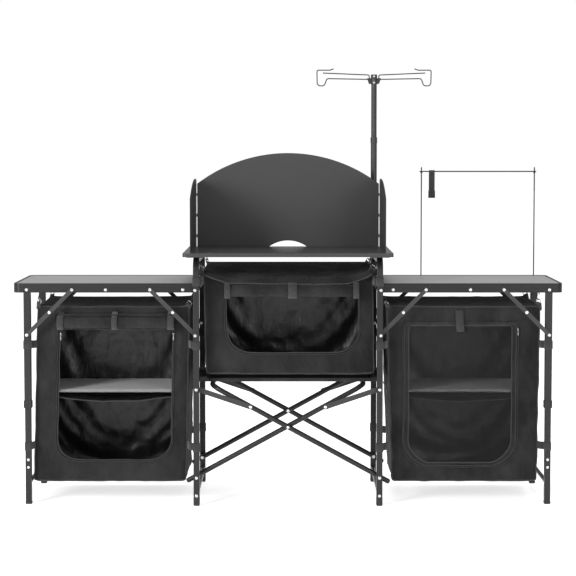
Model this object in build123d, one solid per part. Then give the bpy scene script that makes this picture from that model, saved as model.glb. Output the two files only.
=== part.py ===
"""Folding camp kitchen table: a crossed centre stand with a raised cooktop and
windscreen, two folding wings on telescoping legs, three hanging cloth cupboards,
a lamp pole and a towel rail. Millimetres, +Z up, floor at Z = 0, front at -Y.
Most pieces are drawn once on the front left and mirrored."""

import os
from math import atan2, cos, degrees, hypot, radians, sin

from build123d import *

# --- centre side frames -------------------------------------------------------
LEG_X = 287.0
LEG_Y = 201.0
LEG_SIZE = 19.0
LEG_WALL = 1.3
FRAME_TOP = 781.0
FRAME_BEND = 36.0
GROOVE_WIDTH = 5.0
GROOVE_DEPTH = 0.6
FRAME_SEAT = 26.0
FOOT_RIVET_Z = 32.0
RAIL_X = 284.0
RAIL_Z = 48.0
RAIL_RADIUS = 7.0
LEG_OUTER_Y = LEG_Y + LEG_SIZE / 2
LEG_INNER_Y = LEG_Y - LEG_SIZE / 2

# --- crossed arms -------------------------------------------------------------
PIVOT_Z = 88.6
ARM_TILT = 28.71
ARM_LOWER = 327.2
ARM_UPPER = 272.0
ARM_TAIL = 30.0
ARM_RADIUS = 8.0
ARM_WALL = 1.2
ARM_BEND = 40.0
ARM_OUTER_Y = 180.5
ARM_INNER_Y = 163.5
LINK_RISE = 278.4
LINK_REACH = 134.0
CENTRE_Z = PIVOT_Z + ARM_LOWER * sin(radians(ARM_TILT))

# --- fasteners ----------------------------------------------------------------
SHANK = 3.0
RUNNING = 0.05
HEAD = 5.2
HEAD_HEIGHT = 2.4

# --- wings --------------------------------------------------------------------
WING_IN = 283.0
WING_OUT = 860.0
WING_TOP = 699.0
RIM_HEIGHT = 29.0
RIM_Y = 186.3
RIM_WALL = 2.0
RIM_LIP = 6.0
LIP_THICK = 1.2
RIM_CORNER = 20.0
BOARD_THICK = 6.4
FIELD_INSET = 14.0
FIELD_RISE = 0.2
HINGE_X = 290.0
HINGE_Z = 679.0
OUTER_X = 818.0
BRACE = 142.0
LINK_WIDTH = 13.0
RIM_RIVETS = (329.0, 571.0)
UPPER_LINK_Y = (188.7, 186.7)
LOWER_LINK_Y = (191.1, 189.1)

# --- outer legs ---------------------------------------------------------------
OUTER_Y = 172.0
OUTER_WIDE = 22.0
OUTER_DEEP = 20.0
OUTER_WALL = 1.3
OUTER_END = 318.0
FOOT_WIDE = 19.0
FOOT_DEEP = 17.0
FOOT_TOP = 470.0
OUTER_SEAT = 8.0
FOOT_RAIL_Z = 66.0
BUTTONS_Z = (117.0, 141.0)

# --- cooktop and windscreen ---------------------------------------------------
TRAY_X = 327.5
TRAY_FRONT = -237.5
TRAY_REAR = 160.0
TRAY_TOP = 796.0
TRAY_LIP = 12.0
PANEL = (580.0, -226.0, 130.0)
PANEL_RISE = 0.5
SCREEN_Y = 140.0
SCREEN_HALF = 300.0
SCREEN_SHOULDER = 1004.0
SCREEN_CROWN = 1105.0
SCREEN_THICK = 1.2
SIDE_X = 303.5
SIDE_AXIS_Y = 141.0
SIDE_FRONT = -231.0

# --- cloth cupboards ----------------------------------------------------------
CLOTH = 2.5
WING_BAG_X = (311.0, 795.0)
WING_BAG_Y = 150.0
WING_BAG_Z = (70.0, 627.0)
CENTRE_BAG_X = 266.0
CENTRE_BAG_Y = 150.0
CENTRE_BAG_Z = (394.4, 700.0, 742.0)
CENTRE_BASE = (268.0, 385.0, 394.0)
STRAP_TALL = 23.0
STRAP_THICK = 1.6
SHELF_Z = 357.0
SHELF_THICK = 6.0

# --- lamp pole and towel rail -------------------------------------------------
POLE_Y = 223.7
CLAMP_REAR = 237.5
POLE_RADIUS = 10.3
POLE_BORE = 9.4
POLE_BOTTOM = 520.0
POLE_COLLAR = (1138.0, 1157.0)
MAST_RADIUS = 9.25
MAST_BOTTOM = 1100.0
HEAD_Z = (1333.0, 1366.0)
HOOK_PIVOT = (16.0, 1350.0)
HOOK_WIRE = 1.8
TOWEL_X = (443.0, 818.0)
TOWEL_Y = 176.0
TOWEL_BAR_Z = 1044.0
TOWEL_WIRE = 2.0
CLIP_X = 477.0


def write(name, solids):
    """Writes one node as separate closed solids."""
    pieces = [piece for shape in solids for piece in shape.solids()]
    export_step(Compound(children=pieces), f"parts/{name}.step")


def block(x0, x1, y0, y1, z0, z1):
    size = Box(abs(x1 - x0), abs(y1 - y0), abs(z1 - z0))
    return Pos((x0 + x1) / 2, (y0 + y1) / 2, (z0 + z1) / 2) * size


def rod_x(y, z, radius, x0, x1):
    return Pos((x0 + x1) / 2, y, z) * Rot(0, 90, 0) * Cylinder(radius, abs(x1 - x0))


def rod_y(x, z, radius, y0, y1):
    return Pos(x, (y0 + y1) / 2, z) * Rot(90, 0, 0) * Cylinder(radius, abs(y1 - y0))


def rod_z(x, y, radius, z0, z1):
    return Pos(x, y, (z0 + z1) / 2) * Cylinder(radius, abs(z1 - z0))


def square_tube(x, y, wide, deep, z0, z1, corner):
    section = RectangleRounded(wide, deep, corner)
    return Pos(x, y, z0) * extrude(section, z1 - z0)


def front_and_rear(shapes):
    return list(shapes) + [mirror(shape, Plane.XZ) for shape in shapes]


def other_side(shapes):
    return [mirror(shape, Plane.YZ) for shape in shapes]


def on_side(side, shapes):
    """Shapes drawn on the left stay there for side -1 and are mirrored for +1."""
    return list(shapes) if side < 0 else other_side(shapes)


def round_head(x, z, y_seat, radius=HEAD):
    """A domed rivet head on the front, its seat at y_seat."""
    head = rod_y(x, z, radius, y_seat - HEAD_HEIGHT, y_seat)
    rim = head.edges().filter_by(GeomType.CIRCLE).sort_by(Axis.Y)[0]
    return fillet(rim, HEAD_HEIGHT - 0.6)


def rivet(x, z, y_seat, steps):
    """A front rivet: domed head, then (radius, far y) steps going to the rear."""
    shape = round_head(x, z, y_seat)
    start = y_seat
    for radius, far in steps:
        shape += rod_y(x, z, radius, start, far)
        start = far
    return shape


def strip(p, q, y_span, width=LINK_WIDTH, groove=True):
    """A flat bar with round ends between two pivots, with a pressed groove."""
    run = hypot(q[0] - p[0], q[1] - p[1])
    tilt = degrees(atan2(q[1] - p[1], q[0] - p[0]))
    near, far = -max(y_span), -min(y_span)
    thick = far - near
    hole = Rot(90, 0, 0) * Cylinder(SHANK + RUNNING, 3 * thick)
    ends = Rot(90, 0, 0) * Cylinder(width / 2, thick)
    bar = Box(run, thick, width) + Pos(-run / 2, 0, 0) * ends + Pos(run / 2, 0, 0) * ends
    bar -= Pos(-run / 2, 0, 0) * hole
    bar -= Pos(run / 2, 0, 0) * hole
    if groove:
        bar -= Pos(0, -thick / 2, 0) * Box(run - 1.6 * width, 1.2, width * 0.3)
    middle = Pos((p[0] + q[0]) / 2, (near + far) / 2, (p[1] + q[1]) / 2)
    return middle * Rot(0, -tilt, 0) * bar


def wire(points, radii, radius):
    """A round wire along straight runs joined by tangent arcs."""
    path = FilletPolyline(*points, radius=radii)
    section = Plane(origin=path @ 0, z_dir=path % 0) * Circle(radius)
    return sweep(section, path=path)


def point_on_arm(distance, side):
    """XZ of a point on the arm that rises towards side, from the cross rivet."""
    tilt = radians(ARM_TILT)
    return side * distance * cos(tilt), CENTRE_Z + distance * sin(tilt)


# --- centre side frames -------------------------------------------------------
def leg_section(wall):
    size = LEG_SIZE - 2 * wall
    section = RectangleRounded(size, size, 2.6 - wall if wall < 2 else 0.8)
    for across in (-1, 1):
        slot = Rectangle(GROOVE_WIDTH - 2 * wall * 0.5, 2 * GROOVE_DEPTH)
        section -= Pos(0, across * size / 2) * slot
    return section


def frame_sweep(wall, z_start):
    top = FRAME_TOP - LEG_SIZE / 2
    path = FilletPolyline(
        (-LEG_X, -LEG_Y, z_start),
        (-LEG_X, -LEG_Y, top),
        (-LEG_X, LEG_Y, top),
        (-LEG_X, LEG_Y, z_start),
        radius=FRAME_BEND,
    )
    return sweep(Pos(-LEG_X, -LEG_Y, z_start) * leg_section(wall), path=path)


def frame_rivet_points():
    """XZ of every rivet through a left centre leg."""
    return [
        (-HINGE_X, HINGE_Z),
        (-HINGE_X, HINGE_Z - BRACE),
        (-LEG_X, PIVOT_Z + LINK_RISE),
        (-LEG_X, PIVOT_Z),
        (-LEG_X, FOOT_RIVET_Z),
    ]


def side_frame():
    frame = frame_sweep(0.0, FRAME_SEAT) - frame_sweep(LEG_WALL, FRAME_SEAT)
    for x, z in frame_rivet_points():
        frame -= rod_y(x, z, SHANK, -LEG_OUTER_Y - 1, LEG_OUTER_Y + 1)
    return frame


def lower_rail():
    rail = rod_y(-RAIL_X, RAIL_Z, RAIL_RADIUS, -LEG_INNER_Y, LEG_INNER_Y)
    rail -= rod_y(-RAIL_X, RAIL_Z, RAIL_RADIUS - 1.2, -LEG_INNER_Y, LEG_INNER_Y)
    return rail


def foot_block(x, y, wide, deep, seat, plug, top):
    """A plastic foot under a tube: a block eased at the floor, whose plug stands inside
    the tube."""
    low = Pos(x, y, 0) * RectangleRounded(wide - 3, deep - 3, 1.6)
    high = Pos(x, y, 4) * RectangleRounded(wide, deep, 2.4)
    foot = loft([low, high]) + square_tube(x, y, wide, deep, 4, seat, 2.4)
    return foot + square_tube(x, y, plug[0], plug[1], seat - 1, top, 1.0)


def frame_feet():
    wide = LEG_SIZE + 0.6
    inside = LEG_SIZE - 2 * (LEG_WALL + GROOVE_DEPTH) - 0.4
    caps = []
    for y in (-LEG_Y, LEG_Y):
        cap = foot_block(-LEG_X, y, wide, wide, FRAME_SEAT, (inside, inside), 46.0)
        caps.append(cap - rod_y(-LEG_X, FOOT_RIVET_Z, SHANK, y - 20, y + 20))
    return caps


def frame_rivets(side):
    hinge, brace, link, pivot, foot = frame_rivet_points()
    seat = -LEG_OUTER_Y
    if side < 0:
        near_arm, far_arm = ARM_INNER_Y + ARM_RADIUS, ARM_INNER_Y - ARM_RADIUS
    else:
        near_arm, far_arm = ARM_OUTER_Y + ARM_RADIUS, ARM_OUTER_Y - ARM_RADIUS
    pivot_steps = [
        (SHANK, -LEG_INNER_Y),
        (6.0, -near_arm - 0.3),
        (SHANK, -far_arm + 0.3),
        (HEAD, -far_arm + 2.3),
    ]
    shapes = [
        rivet(*hinge, seat, [(SHANK, -LEG_INNER_Y), (6.0, -186.5), (SHANK, -184.1), (4.0, -182.3)]),
        rivet(*brace, seat, [(SHANK, -188.9), (4.6, -187.0)]),
        rivet(*link, seat, [(SHANK, -188.7), (HEAD, -186.7)]),
        rivet(*pivot, seat, pivot_steps),
        rivet(*foot, seat, [(SHANK, -LEG_INNER_Y), (4.6, -LEG_INNER_Y + 1.8)]),
    ]
    return front_and_rear(shapes)


# --- crossed arms, drawn rising towards side ----------------------------------
def arm(side, arm_y, cross_clearance):
    end = point_on_arm(-ARM_LOWER - ARM_TAIL - ARM_RADIUS, side)
    bore_end = point_on_arm(-ARM_LOWER - ARM_TAIL, side)
    high = point_on_arm(ARM_UPPER, side)

    def corners(low):
        front = [(low[0], -arm_y, low[1]), (high[0], -arm_y, high[1])]
        return front + [(high[0], arm_y, high[1]), (low[0], arm_y, low[1])]

    tube = wire(corners(end), ARM_BEND, ARM_RADIUS)
    tips = tube.edges().filter_by(GeomType.CIRCLE).sort_by(Axis.Z)[:2]
    tube = fillet(tips, ARM_RADIUS - 1.5)
    tube -= wire(corners(bore_end), ARM_BEND, ARM_RADIUS - ARM_WALL)
    pivot = point_on_arm(-ARM_LOWER, side)
    reach = arm_y + ARM_RADIUS + 2
    tube -= rod_y(*pivot, SHANK + RUNNING, -reach, reach)
    tube -= rod_y(0, CENTRE_Z, SHANK + cross_clearance, -reach, reach)
    return tube


def cross_rivets():
    seat = -(ARM_OUTER_Y + ARM_RADIUS) - 0.3
    inner = -(ARM_INNER_Y - ARM_RADIUS) + 0.2
    return front_and_rear([rivet(0, CENTRE_Z, seat, [(SHANK, inner), (HEAD, inner + 2.2)])])


def side_links(side):
    """Links from the leg to the arm that rises towards side, with their arm rivets."""
    leg = (side * LEG_X, PIVOT_Z + LINK_RISE)
    on_arm = point_on_arm(LINK_REACH, side)
    bar = strip(leg, on_arm, (190.9, 188.9), width=16.0)
    arm_face = (ARM_OUTER_Y if side < 0 else ARM_INNER_Y) + ARM_RADIUS
    stem = rod_y(*on_arm, SHANK + RUNNING, -190.9, -188.9)
    stem += round_head(*on_arm, -190.9)
    if side > 0:
        stem += rod_y(*on_arm, 5.0, -188.9, -arm_face - 0.35)
    return front_and_rear([bar + stem])


# --- wings, drawn on the left -------------------------------------------------
def wing_outline(inset, z, thick):
    x_out, x_in = -WING_OUT + inset, -WING_IN - inset
    half = RIM_Y - inset
    sheet = Rectangle(x_in - x_out, 2 * half)
    corners = sheet.vertices().sort_by(Axis.X)[:2]
    sheet = fillet(corners, RIM_CORNER - inset)
    return Pos((x_out + x_in) / 2, 0, z) * extrude(sheet, thick)


def wing_rim(side):
    bottom = WING_TOP - RIM_HEIGHT
    rim = wing_outline(0, bottom, RIM_HEIGHT)
    rim -= wing_outline(RIM_WALL, bottom - 1, RIM_HEIGHT + 1 - LIP_THICK)
    rim -= wing_outline(RIM_WALL + RIM_LIP, bottom, RIM_HEIGHT + 1)
    for x in RIM_RIVETS + (HINGE_X + BRACE, OUTER_X - BRACE, OUTER_X):
        rim -= rod_y(-x, HINGE_Z, SHANK, -RIM_Y - 1, RIM_Y + 1)
    rim -= rod_y(-HINGE_X, HINGE_Z, SHANK + RUNNING, -RIM_Y - 1, RIM_Y + 1)
    if side > 0:
        rim -= towel_holes()
    return rim


def wing_board(side):
    """Board held under the rim's lip, with its embossed field a little proud, and two
    battens below."""
    top = WING_TOP - LIP_THICK
    board = wing_outline(RIM_WALL, top - BOARD_THICK, BOARD_THICK)
    board += wing_outline(FIELD_INSET, top, FIELD_RISE)
    if side > 0:
        board -= towel_holes()
    under = top - BOARD_THICK
    ribs = [block(-840, -300, y - 14, y + 14, under - 2, under) for y in (-70, 70)]
    return [board] + ribs


def towel_holes():
    """Sockets near the rear edge, drawn on the left like the wing they cut."""
    holes = [rod_z(-x, TOWEL_Y, TOWEL_WIRE + 0.1, 692.0, 700.0) for x in TOWEL_X]
    return holes[0] + holes[1]


def wing_rivets():
    skin = -RIM_Y + RIM_WALL
    shapes = [rivet(-x, HINGE_Z, -RIM_Y, [(SHANK, skin)]) for x in RIM_RIVETS]
    for x in (HINGE_X + BRACE, OUTER_X - BRACE):
        shapes.append(rivet(-x, HINGE_Z, -UPPER_LINK_Y[0] - 0.2, [(SHANK, skin)]))
    front, rear = -OUTER_Y - OUTER_DEEP / 2, -OUTER_Y + OUTER_DEEP / 2
    steps = [(SHANK, skin), (6.0, front - 0.3), (SHANK, rear + 0.3), (HEAD, rear + 2.2)]
    shapes.append(rivet(-OUTER_X, HINGE_Z, -RIM_Y, steps))
    return front_and_rear(shapes)


# --- outer legs, drawn at the front left --------------------------------------
def outer_tube():
    """Upper leg tube, round at the pivot, with its clamp collar at the lower end."""
    x, y = -OUTER_X, -OUTER_Y
    tube = square_tube(x, y, OUTER_WIDE, OUTER_DEEP, OUTER_END, HINGE_Z, 2.6)
    tube += rod_y(x, HINGE_Z, OUTER_WIDE / 2, y - OUTER_DEEP / 2, y + OUTER_DEEP / 2)
    bore_wide, bore_deep = OUTER_WIDE - 2 * OUTER_WALL, OUTER_DEEP - 2 * OUTER_WALL
    tube -= square_tube(x, y, bore_wide, bore_deep, OUTER_END - 1, HINGE_Z - 8, 1.2)
    tube -= rod_y(x, HINGE_Z, SHANK + RUNNING, y - 20, y + 20)
    tube -= rod_y(x, HINGE_Z - BRACE, SHANK, y - 20, y)
    collar = square_tube(x, y, 26, 24, OUTER_END - 12, OUTER_END + 10, 3.0)
    collar -= square_tube(x, y, OUTER_WIDE, OUTER_DEEP, OUTER_END, OUTER_END + 20, 2.6)
    collar -= square_tube(x, y, bore_wide, bore_deep, OUTER_END - 20, OUTER_END + 1, 1.2)
    return [tube, collar]


def outer_rivet():
    x, z, face = -OUTER_X, HINGE_Z - BRACE, -OUTER_Y - OUTER_DEEP / 2
    seat = -LOWER_LINK_Y[0] - 0.2
    shape = round_head(x, z, seat)
    shape += rod_y(x, z, SHANK, seat, face + OUTER_WALL)
    shape += rod_y(x, z, HEAD, -LOWER_LINK_Y[1] + 0.2, face)
    return shape


def foot_tube():
    x, y = -OUTER_X, -OUTER_Y
    tube = square_tube(x, y, FOOT_WIDE, FOOT_DEEP, OUTER_SEAT, FOOT_TOP, 1.2)
    bore = square_tube(x, y, FOOT_WIDE - 2.4, FOOT_DEEP - 2.4, OUTER_SEAT - 1, FOOT_TOP + 1, 0.8)
    tube -= bore
    for z in BUTTONS_Z:
        tube -= rod_y(x, z, 4.2, y - 20, y)
    return tube


def foot_rail():
    inner = OUTER_Y - FOOT_DEEP / 2
    rail = rod_y(-OUTER_X, FOOT_RAIL_Z, 7.0, -inner, inner)
    return rail - rod_y(-OUTER_X, FOOT_RAIL_Z, 5.8, -inner, inner)


def foot_buttons():
    face = -OUTER_Y - FOOT_DEEP / 2
    return [rod_y(-OUTER_X, z, 4.2, face - 0.1, face + 1.2) for z in BUTTONS_Z]


def outer_feet():
    plug = (FOOT_WIDE - 2.6, FOOT_DEEP - 2.6)
    size = (FOOT_WIDE + 1.4, FOOT_DEEP + 1.4)
    return [foot_block(-OUTER_X, y, *size, OUTER_SEAT, plug, 30.0) for y in (-OUTER_Y, OUTER_Y)]


def brace_links(rim_x, leg_x):
    """Upper link on the rim and lower link on the leg, meeting at the knee."""
    rim_point = (-rim_x, HINGE_Z)
    leg_point = (-leg_x, HINGE_Z - BRACE)
    knee = ((rim_point[0] + leg_point[0]) / 2, (rim_point[1] + leg_point[1]) / 2)
    upper = strip(rim_point, knee, UPPER_LINK_Y)
    lower = strip(leg_point, knee, LOWER_LINK_Y)
    lower += rod_y(*knee, SHANK + RUNNING, -LOWER_LINK_Y[0], -LOWER_LINK_Y[1])
    lower += round_head(*knee, -LOWER_LINK_Y[0])
    return front_and_rear([upper]), front_and_rear([lower])


# --- cooktop and windscreen ---------------------------------------------------
def tray():
    """Folded sheet tray with a shallow raised panel inside the windscreen."""
    plan = Pos(0, (TRAY_FRONT + TRAY_REAR) / 2) * RectangleRounded(
        2 * TRAY_X, TRAY_REAR - TRAY_FRONT, 9.0
    )
    shape = Pos(0, 0, TRAY_TOP - TRAY_LIP) * extrude(plan, TRAY_LIP)
    inner = Pos(0, (TRAY_FRONT + TRAY_REAR) / 2) * RectangleRounded(
        2 * TRAY_X - 3, TRAY_REAR - TRAY_FRONT - 3, 7.5
    )
    shape -= Pos(0, 0, TRAY_TOP - TRAY_LIP - 2) * extrude(inner, TRAY_LIP)
    top_edges = shape.edges().group_by(Axis.Z)[-1]
    shape = fillet(top_edges, 0.9)
    width, front, rear = PANEL
    panel = Pos(0, (front + rear) / 2, TRAY_TOP) * RectangleRounded(width, rear - front, 12.0)
    return shape + extrude(panel, PANEL_RISE)


def saddles():
    """Hollow bearers under the tray that rest on the side frames."""
    under = TRAY_TOP - 2
    shapes = []
    for side in (-1, 1):
        x0, x1 = side * 265.0, side * 316.0
        bearer = block(x0, x1, -215, 140, FRAME_TOP, under)
        hollow = block(side * 267.0, side * 314.0, -216, 141, FRAME_TOP + 2, under - 2)
        shapes.append(bearer - hollow)
    return shapes


def windscreen_back():
    half, low = SCREEN_HALF, TRAY_TOP
    outline = [
        Line((-half, low), (half, low)),
        Line((half, low), (half, SCREEN_SHOULDER)),
        ThreePointArc((half, SCREEN_SHOULDER), (0, SCREEN_CROWN), (-half, SCREEN_SHOULDER)),
        Line((-half, SCREEN_SHOULDER), (-half, low)),
    ]
    sheet = extrude(Plane.XZ * make_face(outline), SCREEN_THICK / 2, both=True)
    sheet = Pos(0, SCREEN_Y, 0) * sheet
    half_moon = rod_y(0, TRAY_TOP - 87.7, 107.7, SCREEN_Y - 3, SCREEN_Y + 3)
    return sheet - half_moon


def hinge_heights():
    return (832.0, 900.0, 968.0)


def windscreen_side():
    """Left side panel with a wire down its rear edge, notched at each ring."""
    low, x = TRAY_TOP + 1, -SIDE_X
    rear = SIDE_AXIS_Y
    outline = [
        Line((rear, low), (SIDE_FRONT, low)),
        Line((SIDE_FRONT, low), (SIDE_FRONT, 965.0)),
        ThreePointArc((SIDE_FRONT, 965.0), (-87, 1007), (rear, 1018)),
        Line((rear, 1018), (rear, low)),
    ]
    sheet = Pos(x, 0, 0) * extrude(Plane.YZ * make_face(outline), SCREEN_THICK / 2, both=True)
    for z in hinge_heights():
        sheet -= block(x - 2, x + 2, rear - 6, rear + 1, z - 7, z + 7)
    return sheet + rod_z(x, rear, 1.5, low, 1018)


def hinge_rings():
    """Sleeves round the side panels' edge wires, with tabs behind the back panel."""
    shapes = []
    back = SCREEN_Y + SCREEN_THICK / 2
    for z in hinge_heights():
        ring = rod_z(-SIDE_X, SIDE_AXIS_Y, 3.4, z - 5, z + 5)
        ring += block(-SIDE_X + 1, -SIDE_X + 16, back, back + 1.6, z - 5, z + 5)
        ring -= block(-SCREEN_HALF, -SIDE_X + 17, SCREEN_Y - 5, back, z - 6, z + 6)
        ring -= rod_z(-SIDE_X, SIDE_AXIS_Y, 1.5 + 2 * RUNNING, z - 6, z + 6)
        shapes.append(ring)
    return shapes + other_side(shapes)


# --- cloth cupboards ----------------------------------------------------------
def leg_strap(leg_x, leg_y, wide, deep, z, bag_x, corner=2.6):
    """A webbing loop round a front leg and its tail back to the cupboard."""
    low, high = z - STRAP_TALL / 2, z + STRAP_TALL / 2
    loop = square_tube(leg_x, leg_y, wide + 2 * STRAP_THICK, deep + 2 * STRAP_THICK, low, high, 3.6)
    loop -= square_tube(leg_x, leg_y, wide, deep, low - 1, high + 1, corner)
    inner = leg_y + deep / 2
    toward = 1 if bag_x > leg_x else -1
    tail_start = leg_x + toward * wide / 2 * 0.6
    loop += block(tail_start, bag_x, inner, inner + STRAP_THICK, low, high)
    return loop


def wing_cupboard(door_x, door_z):
    """Six cloth walls on the left with a front opening, and the leg straps."""
    x1, x0 = -WING_BAG_X[0], -WING_BAG_X[1]
    z0, z1 = WING_BAG_Z
    half = WING_BAG_Y
    t = CLOTH
    d0, d1 = -door_x[1], -door_x[0]
    walls = [
        block(x0, x1, -half, half, z0, z0 + t),
        block(x0, x1, -half, half, z1 - t, z1),
        block(x0, x1, half - t, half, z0 + t, z1 - t),
        block(x0, x0 + t, -half, half - t, z0 + t, z1 - t),
        block(x1 - t, x1, -half, half - t, z0 + t, z1 - t),
        block(x0 + t, d0, -half, -half + t, z0 + t, z1 - t),
        block(d1, x1 - t, -half, -half + t, z0 + t, z1 - t),
        block(d0, d1, -half, -half + t, z0 + t, door_z[0]),
        block(d0, d1, -half, -half + t, door_z[1], z1 - t),
    ]
    straps = []
    upper = (OUTER_WIDE, OUTER_DEEP, 505.0, 2.6)
    lower = (FOOT_WIDE, FOOT_DEEP, 184.0, 1.2)
    for wide, deep, z, corner in (upper, lower):
        straps.append(leg_strap(-OUTER_X, -OUTER_Y, wide, deep, z, x0 + 14, corner))
        straps.append(leg_strap(-LEG_X, -LEG_Y, LEG_SIZE, LEG_SIZE, z, x1 - 14))
    return walls + front_and_rear(straps)


def centre_cupboard():
    """Cloth box with a sloping roof, on a base board that lies over the crossbars."""
    half_x, half = CENTRE_BAG_X, CENTRE_BAG_Y
    z0, z_front, z_rear = CENTRE_BAG_Z
    t = CLOTH
    door = (-200.0, 222.0, 477.0, 653.0)
    side_shape = Polyline((-half + t, z0 + t), (half - t, z0 + t), (half - t, z_rear - 4))
    side_shape += Polyline((half - t, z_rear - 4), (-half + t, z_front - 4), (-half + t, z0 + t))
    side = extrude(Plane.YZ * make_face(side_shape), t)
    roof_shape = Polyline((-half, z_front - 4), (half - t, z_rear - 4), (half - t, z_rear))
    roof_shape += Polyline((half - t, z_rear), (-half, z_front), (-half, z_front - 4))
    roof = Pos(-half_x, 0, 0) * extrude(Plane.YZ * make_face(roof_shape), 2 * half_x)
    front_top = z_front - 4
    walls = [
        block(-half_x, half_x, -half, half, z0, z0 + t),
        block(-half_x, half_x, half - t, half, z0 + t, z_rear),
        roof,
        Pos(-half_x, 0, 0) * side,
        Pos(half_x - t, 0, 0) * side,
        block(-half_x, door[0], -half, -half + t, z0 + t, front_top),
        block(door[1], half_x, -half, -half + t, z0 + t, front_top),
        block(door[0], door[1], -half, -half + t, z0 + t, door[2]),
        block(door[0], door[1], -half, -half + t, door[3], front_top),
        block(-CENTRE_BASE[0], CENTRE_BASE[0], -half, half, CENTRE_BASE[1], CENTRE_BASE[2]),
    ]
    straps = []
    for side_x in (-1, 1):
        end = side_x * (CENTRE_BAG_X - 14)
        straps.append(leg_strap(side_x * LEG_X, -LEG_Y, LEG_SIZE, LEG_SIZE, 705.0, end))
    return walls + front_and_rear(straps)


def shelf():
    x1, x0 = -WING_BAG_X[0] - 10, -WING_BAG_X[1] + 15
    board = block(x0, x1, -142, 142, SHELF_Z - SHELF_THICK, SHELF_Z)
    return fillet(board.edges().filter_by(Axis.Z), 8)


def roll(x0, x1, z, radius, face_y):
    """A rolled door: a soft log tied against the front wall, its ends a little domed."""
    log = rod_x(face_y - radius - 0.2, z, radius, x0, x1)
    ends = log.edges().filter_by(GeomType.CIRCLE)
    return fillet(ends, radius * 0.35)


# --- lamp pole ----------------------------------------------------------------
def lamp_clamps():
    """Two blocks fixed behind the right rear leg, bored for the pole."""
    shapes = []
    for z in (560.0, 728.0):
        clamp = block(LEG_X - 15, LEG_X + 15, LEG_OUTER_Y, CLAMP_REAR, z, z + 24)
        rear = clamp.edges().filter_by(Axis.Z).group_by(Axis.Y)[-1]
        clamp = fillet(rear, 11)
        clamp -= rod_z(LEG_X, POLE_Y, POLE_RADIUS + RUNNING, z - 1, z + 25)
        knob = rod_x(POLE_Y + 1, z + 12, 3.0, LEG_X + 15, LEG_X + 21)
        knob += rod_x(POLE_Y + 1, z + 12, 8.0, LEG_X + 21, LEG_X + 30)
        shapes.append(clamp + knob)
    return shapes


def pole_lower():
    tube = rod_z(LEG_X, POLE_Y, POLE_RADIUS, POLE_BOTTOM, POLE_COLLAR[1])
    tube += rod_z(LEG_X, POLE_Y, POLE_RADIUS + 0.9, *POLE_COLLAR)
    return tube - rod_z(LEG_X, POLE_Y, POLE_BORE, POLE_BOTTOM + 4, POLE_COLLAR[1] + 1)


def pole_upper():
    """Mast with a head that carries two forks for the folding hooks."""
    low, high = HEAD_Z
    tube = rod_z(LEG_X, POLE_Y, MAST_RADIUS, MAST_BOTTOM, low)
    tube -= rod_z(LEG_X, POLE_Y, MAST_RADIUS - 1.0, MAST_BOTTOM - 1, low - 6)
    tube += rod_z(LEG_X, POLE_Y, 10.4, low, high)
    fork = Polyline((8, low + 2), (17, low + 2), (23, high - 12), (8, high - 12), (8, low + 2))
    plate = Plane.XZ * make_face(fork)
    for side in (-1, 1):
        for y in (-4.6, 3.0):
            cheek = Pos(LEG_X, POLE_Y + y + 1.6, 0) * extrude(plate, 1.6)
            if side < 0:
                cheek = Pos(2 * LEG_X, 0, 0) * mirror(cheek, Plane.YZ)
            tube += cheek
        x = LEG_X + side * HOOK_PIVOT[0]
        tube += rod_y(x, HOOK_PIVOT[1], 1.5, POLE_Y - 4.6, POLE_Y + 4.6)
    return tube


def mast_rivets():
    face = POLE_Y - 10.4
    return [
        round_head(LEG_X, z, face + 0.4, 3.6) - rod_z(LEG_X, POLE_Y, 10.4, z - 6, z + 6)
        for z in (1339.0, 1360.0)
    ]


def hook(side):
    """Wire arm: an eye on the fork pin, a dipped hook and a straight spring wire."""
    px, pz = HOOK_PIVOT
    y = POLE_Y

    def at(dx, z):
        return LEG_X + side * dx, y, z

    lower = [
        at(px + 2.5, pz),
        at(157, 1352.5),
        at(166, 1328.5),
        at(189.5, 1328.5),
        at(190.5, 1380.5),
        at(147, 1380.5),
        at(135, 1385.0),
    ]
    upper = [at(px, pz + 2.5), at(px, 1364.5), at(171, 1371.0)]
    eye = rod_y(LEG_X + side * px, pz, 4.0, y - 2.6, y + 2.6)
    shape = wire(lower, [8.0, 10.0, 11.0, 6.0, 5.0], HOOK_WIRE)
    shape += wire(upper, [5.0], HOOK_WIRE)
    shape += eye
    return shape - rod_y(LEG_X + side * px, pz, 1.5 + RUNNING, y - 4, y + 4)


# --- towel rail ---------------------------------------------------------------
def towel_uprights():
    """Wires that stand in the right wing, each with a collar under the bar's ring."""
    shapes = []
    for x in TOWEL_X:
        post = rod_z(x, TOWEL_Y, TOWEL_WIRE, 692.4, TOWEL_BAR_Z + 14)
        post += rod_z(x, TOWEL_Y, 3.4, TOWEL_BAR_Z - 6, TOWEL_BAR_Z - 2.2)
        shapes.append(post)
    return shapes


def towel_bar():
    """Cross wire with a ring round each upright."""
    front = TOWEL_Y - 4.6
    bar = rod_x(front, TOWEL_BAR_Z, TOWEL_WIRE, TOWEL_X[0], TOWEL_X[1])
    for x in TOWEL_X:
        bar += rod_z(x, TOWEL_Y, 6.4, TOWEL_BAR_Z - 1.8, TOWEL_BAR_Z + 1.8)
    for x in TOWEL_X:
        bar -= rod_z(x, TOWEL_Y, TOWEL_WIRE + 0.35, TOWEL_BAR_Z - 5, TOWEL_BAR_Z + 5)
    return bar


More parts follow.
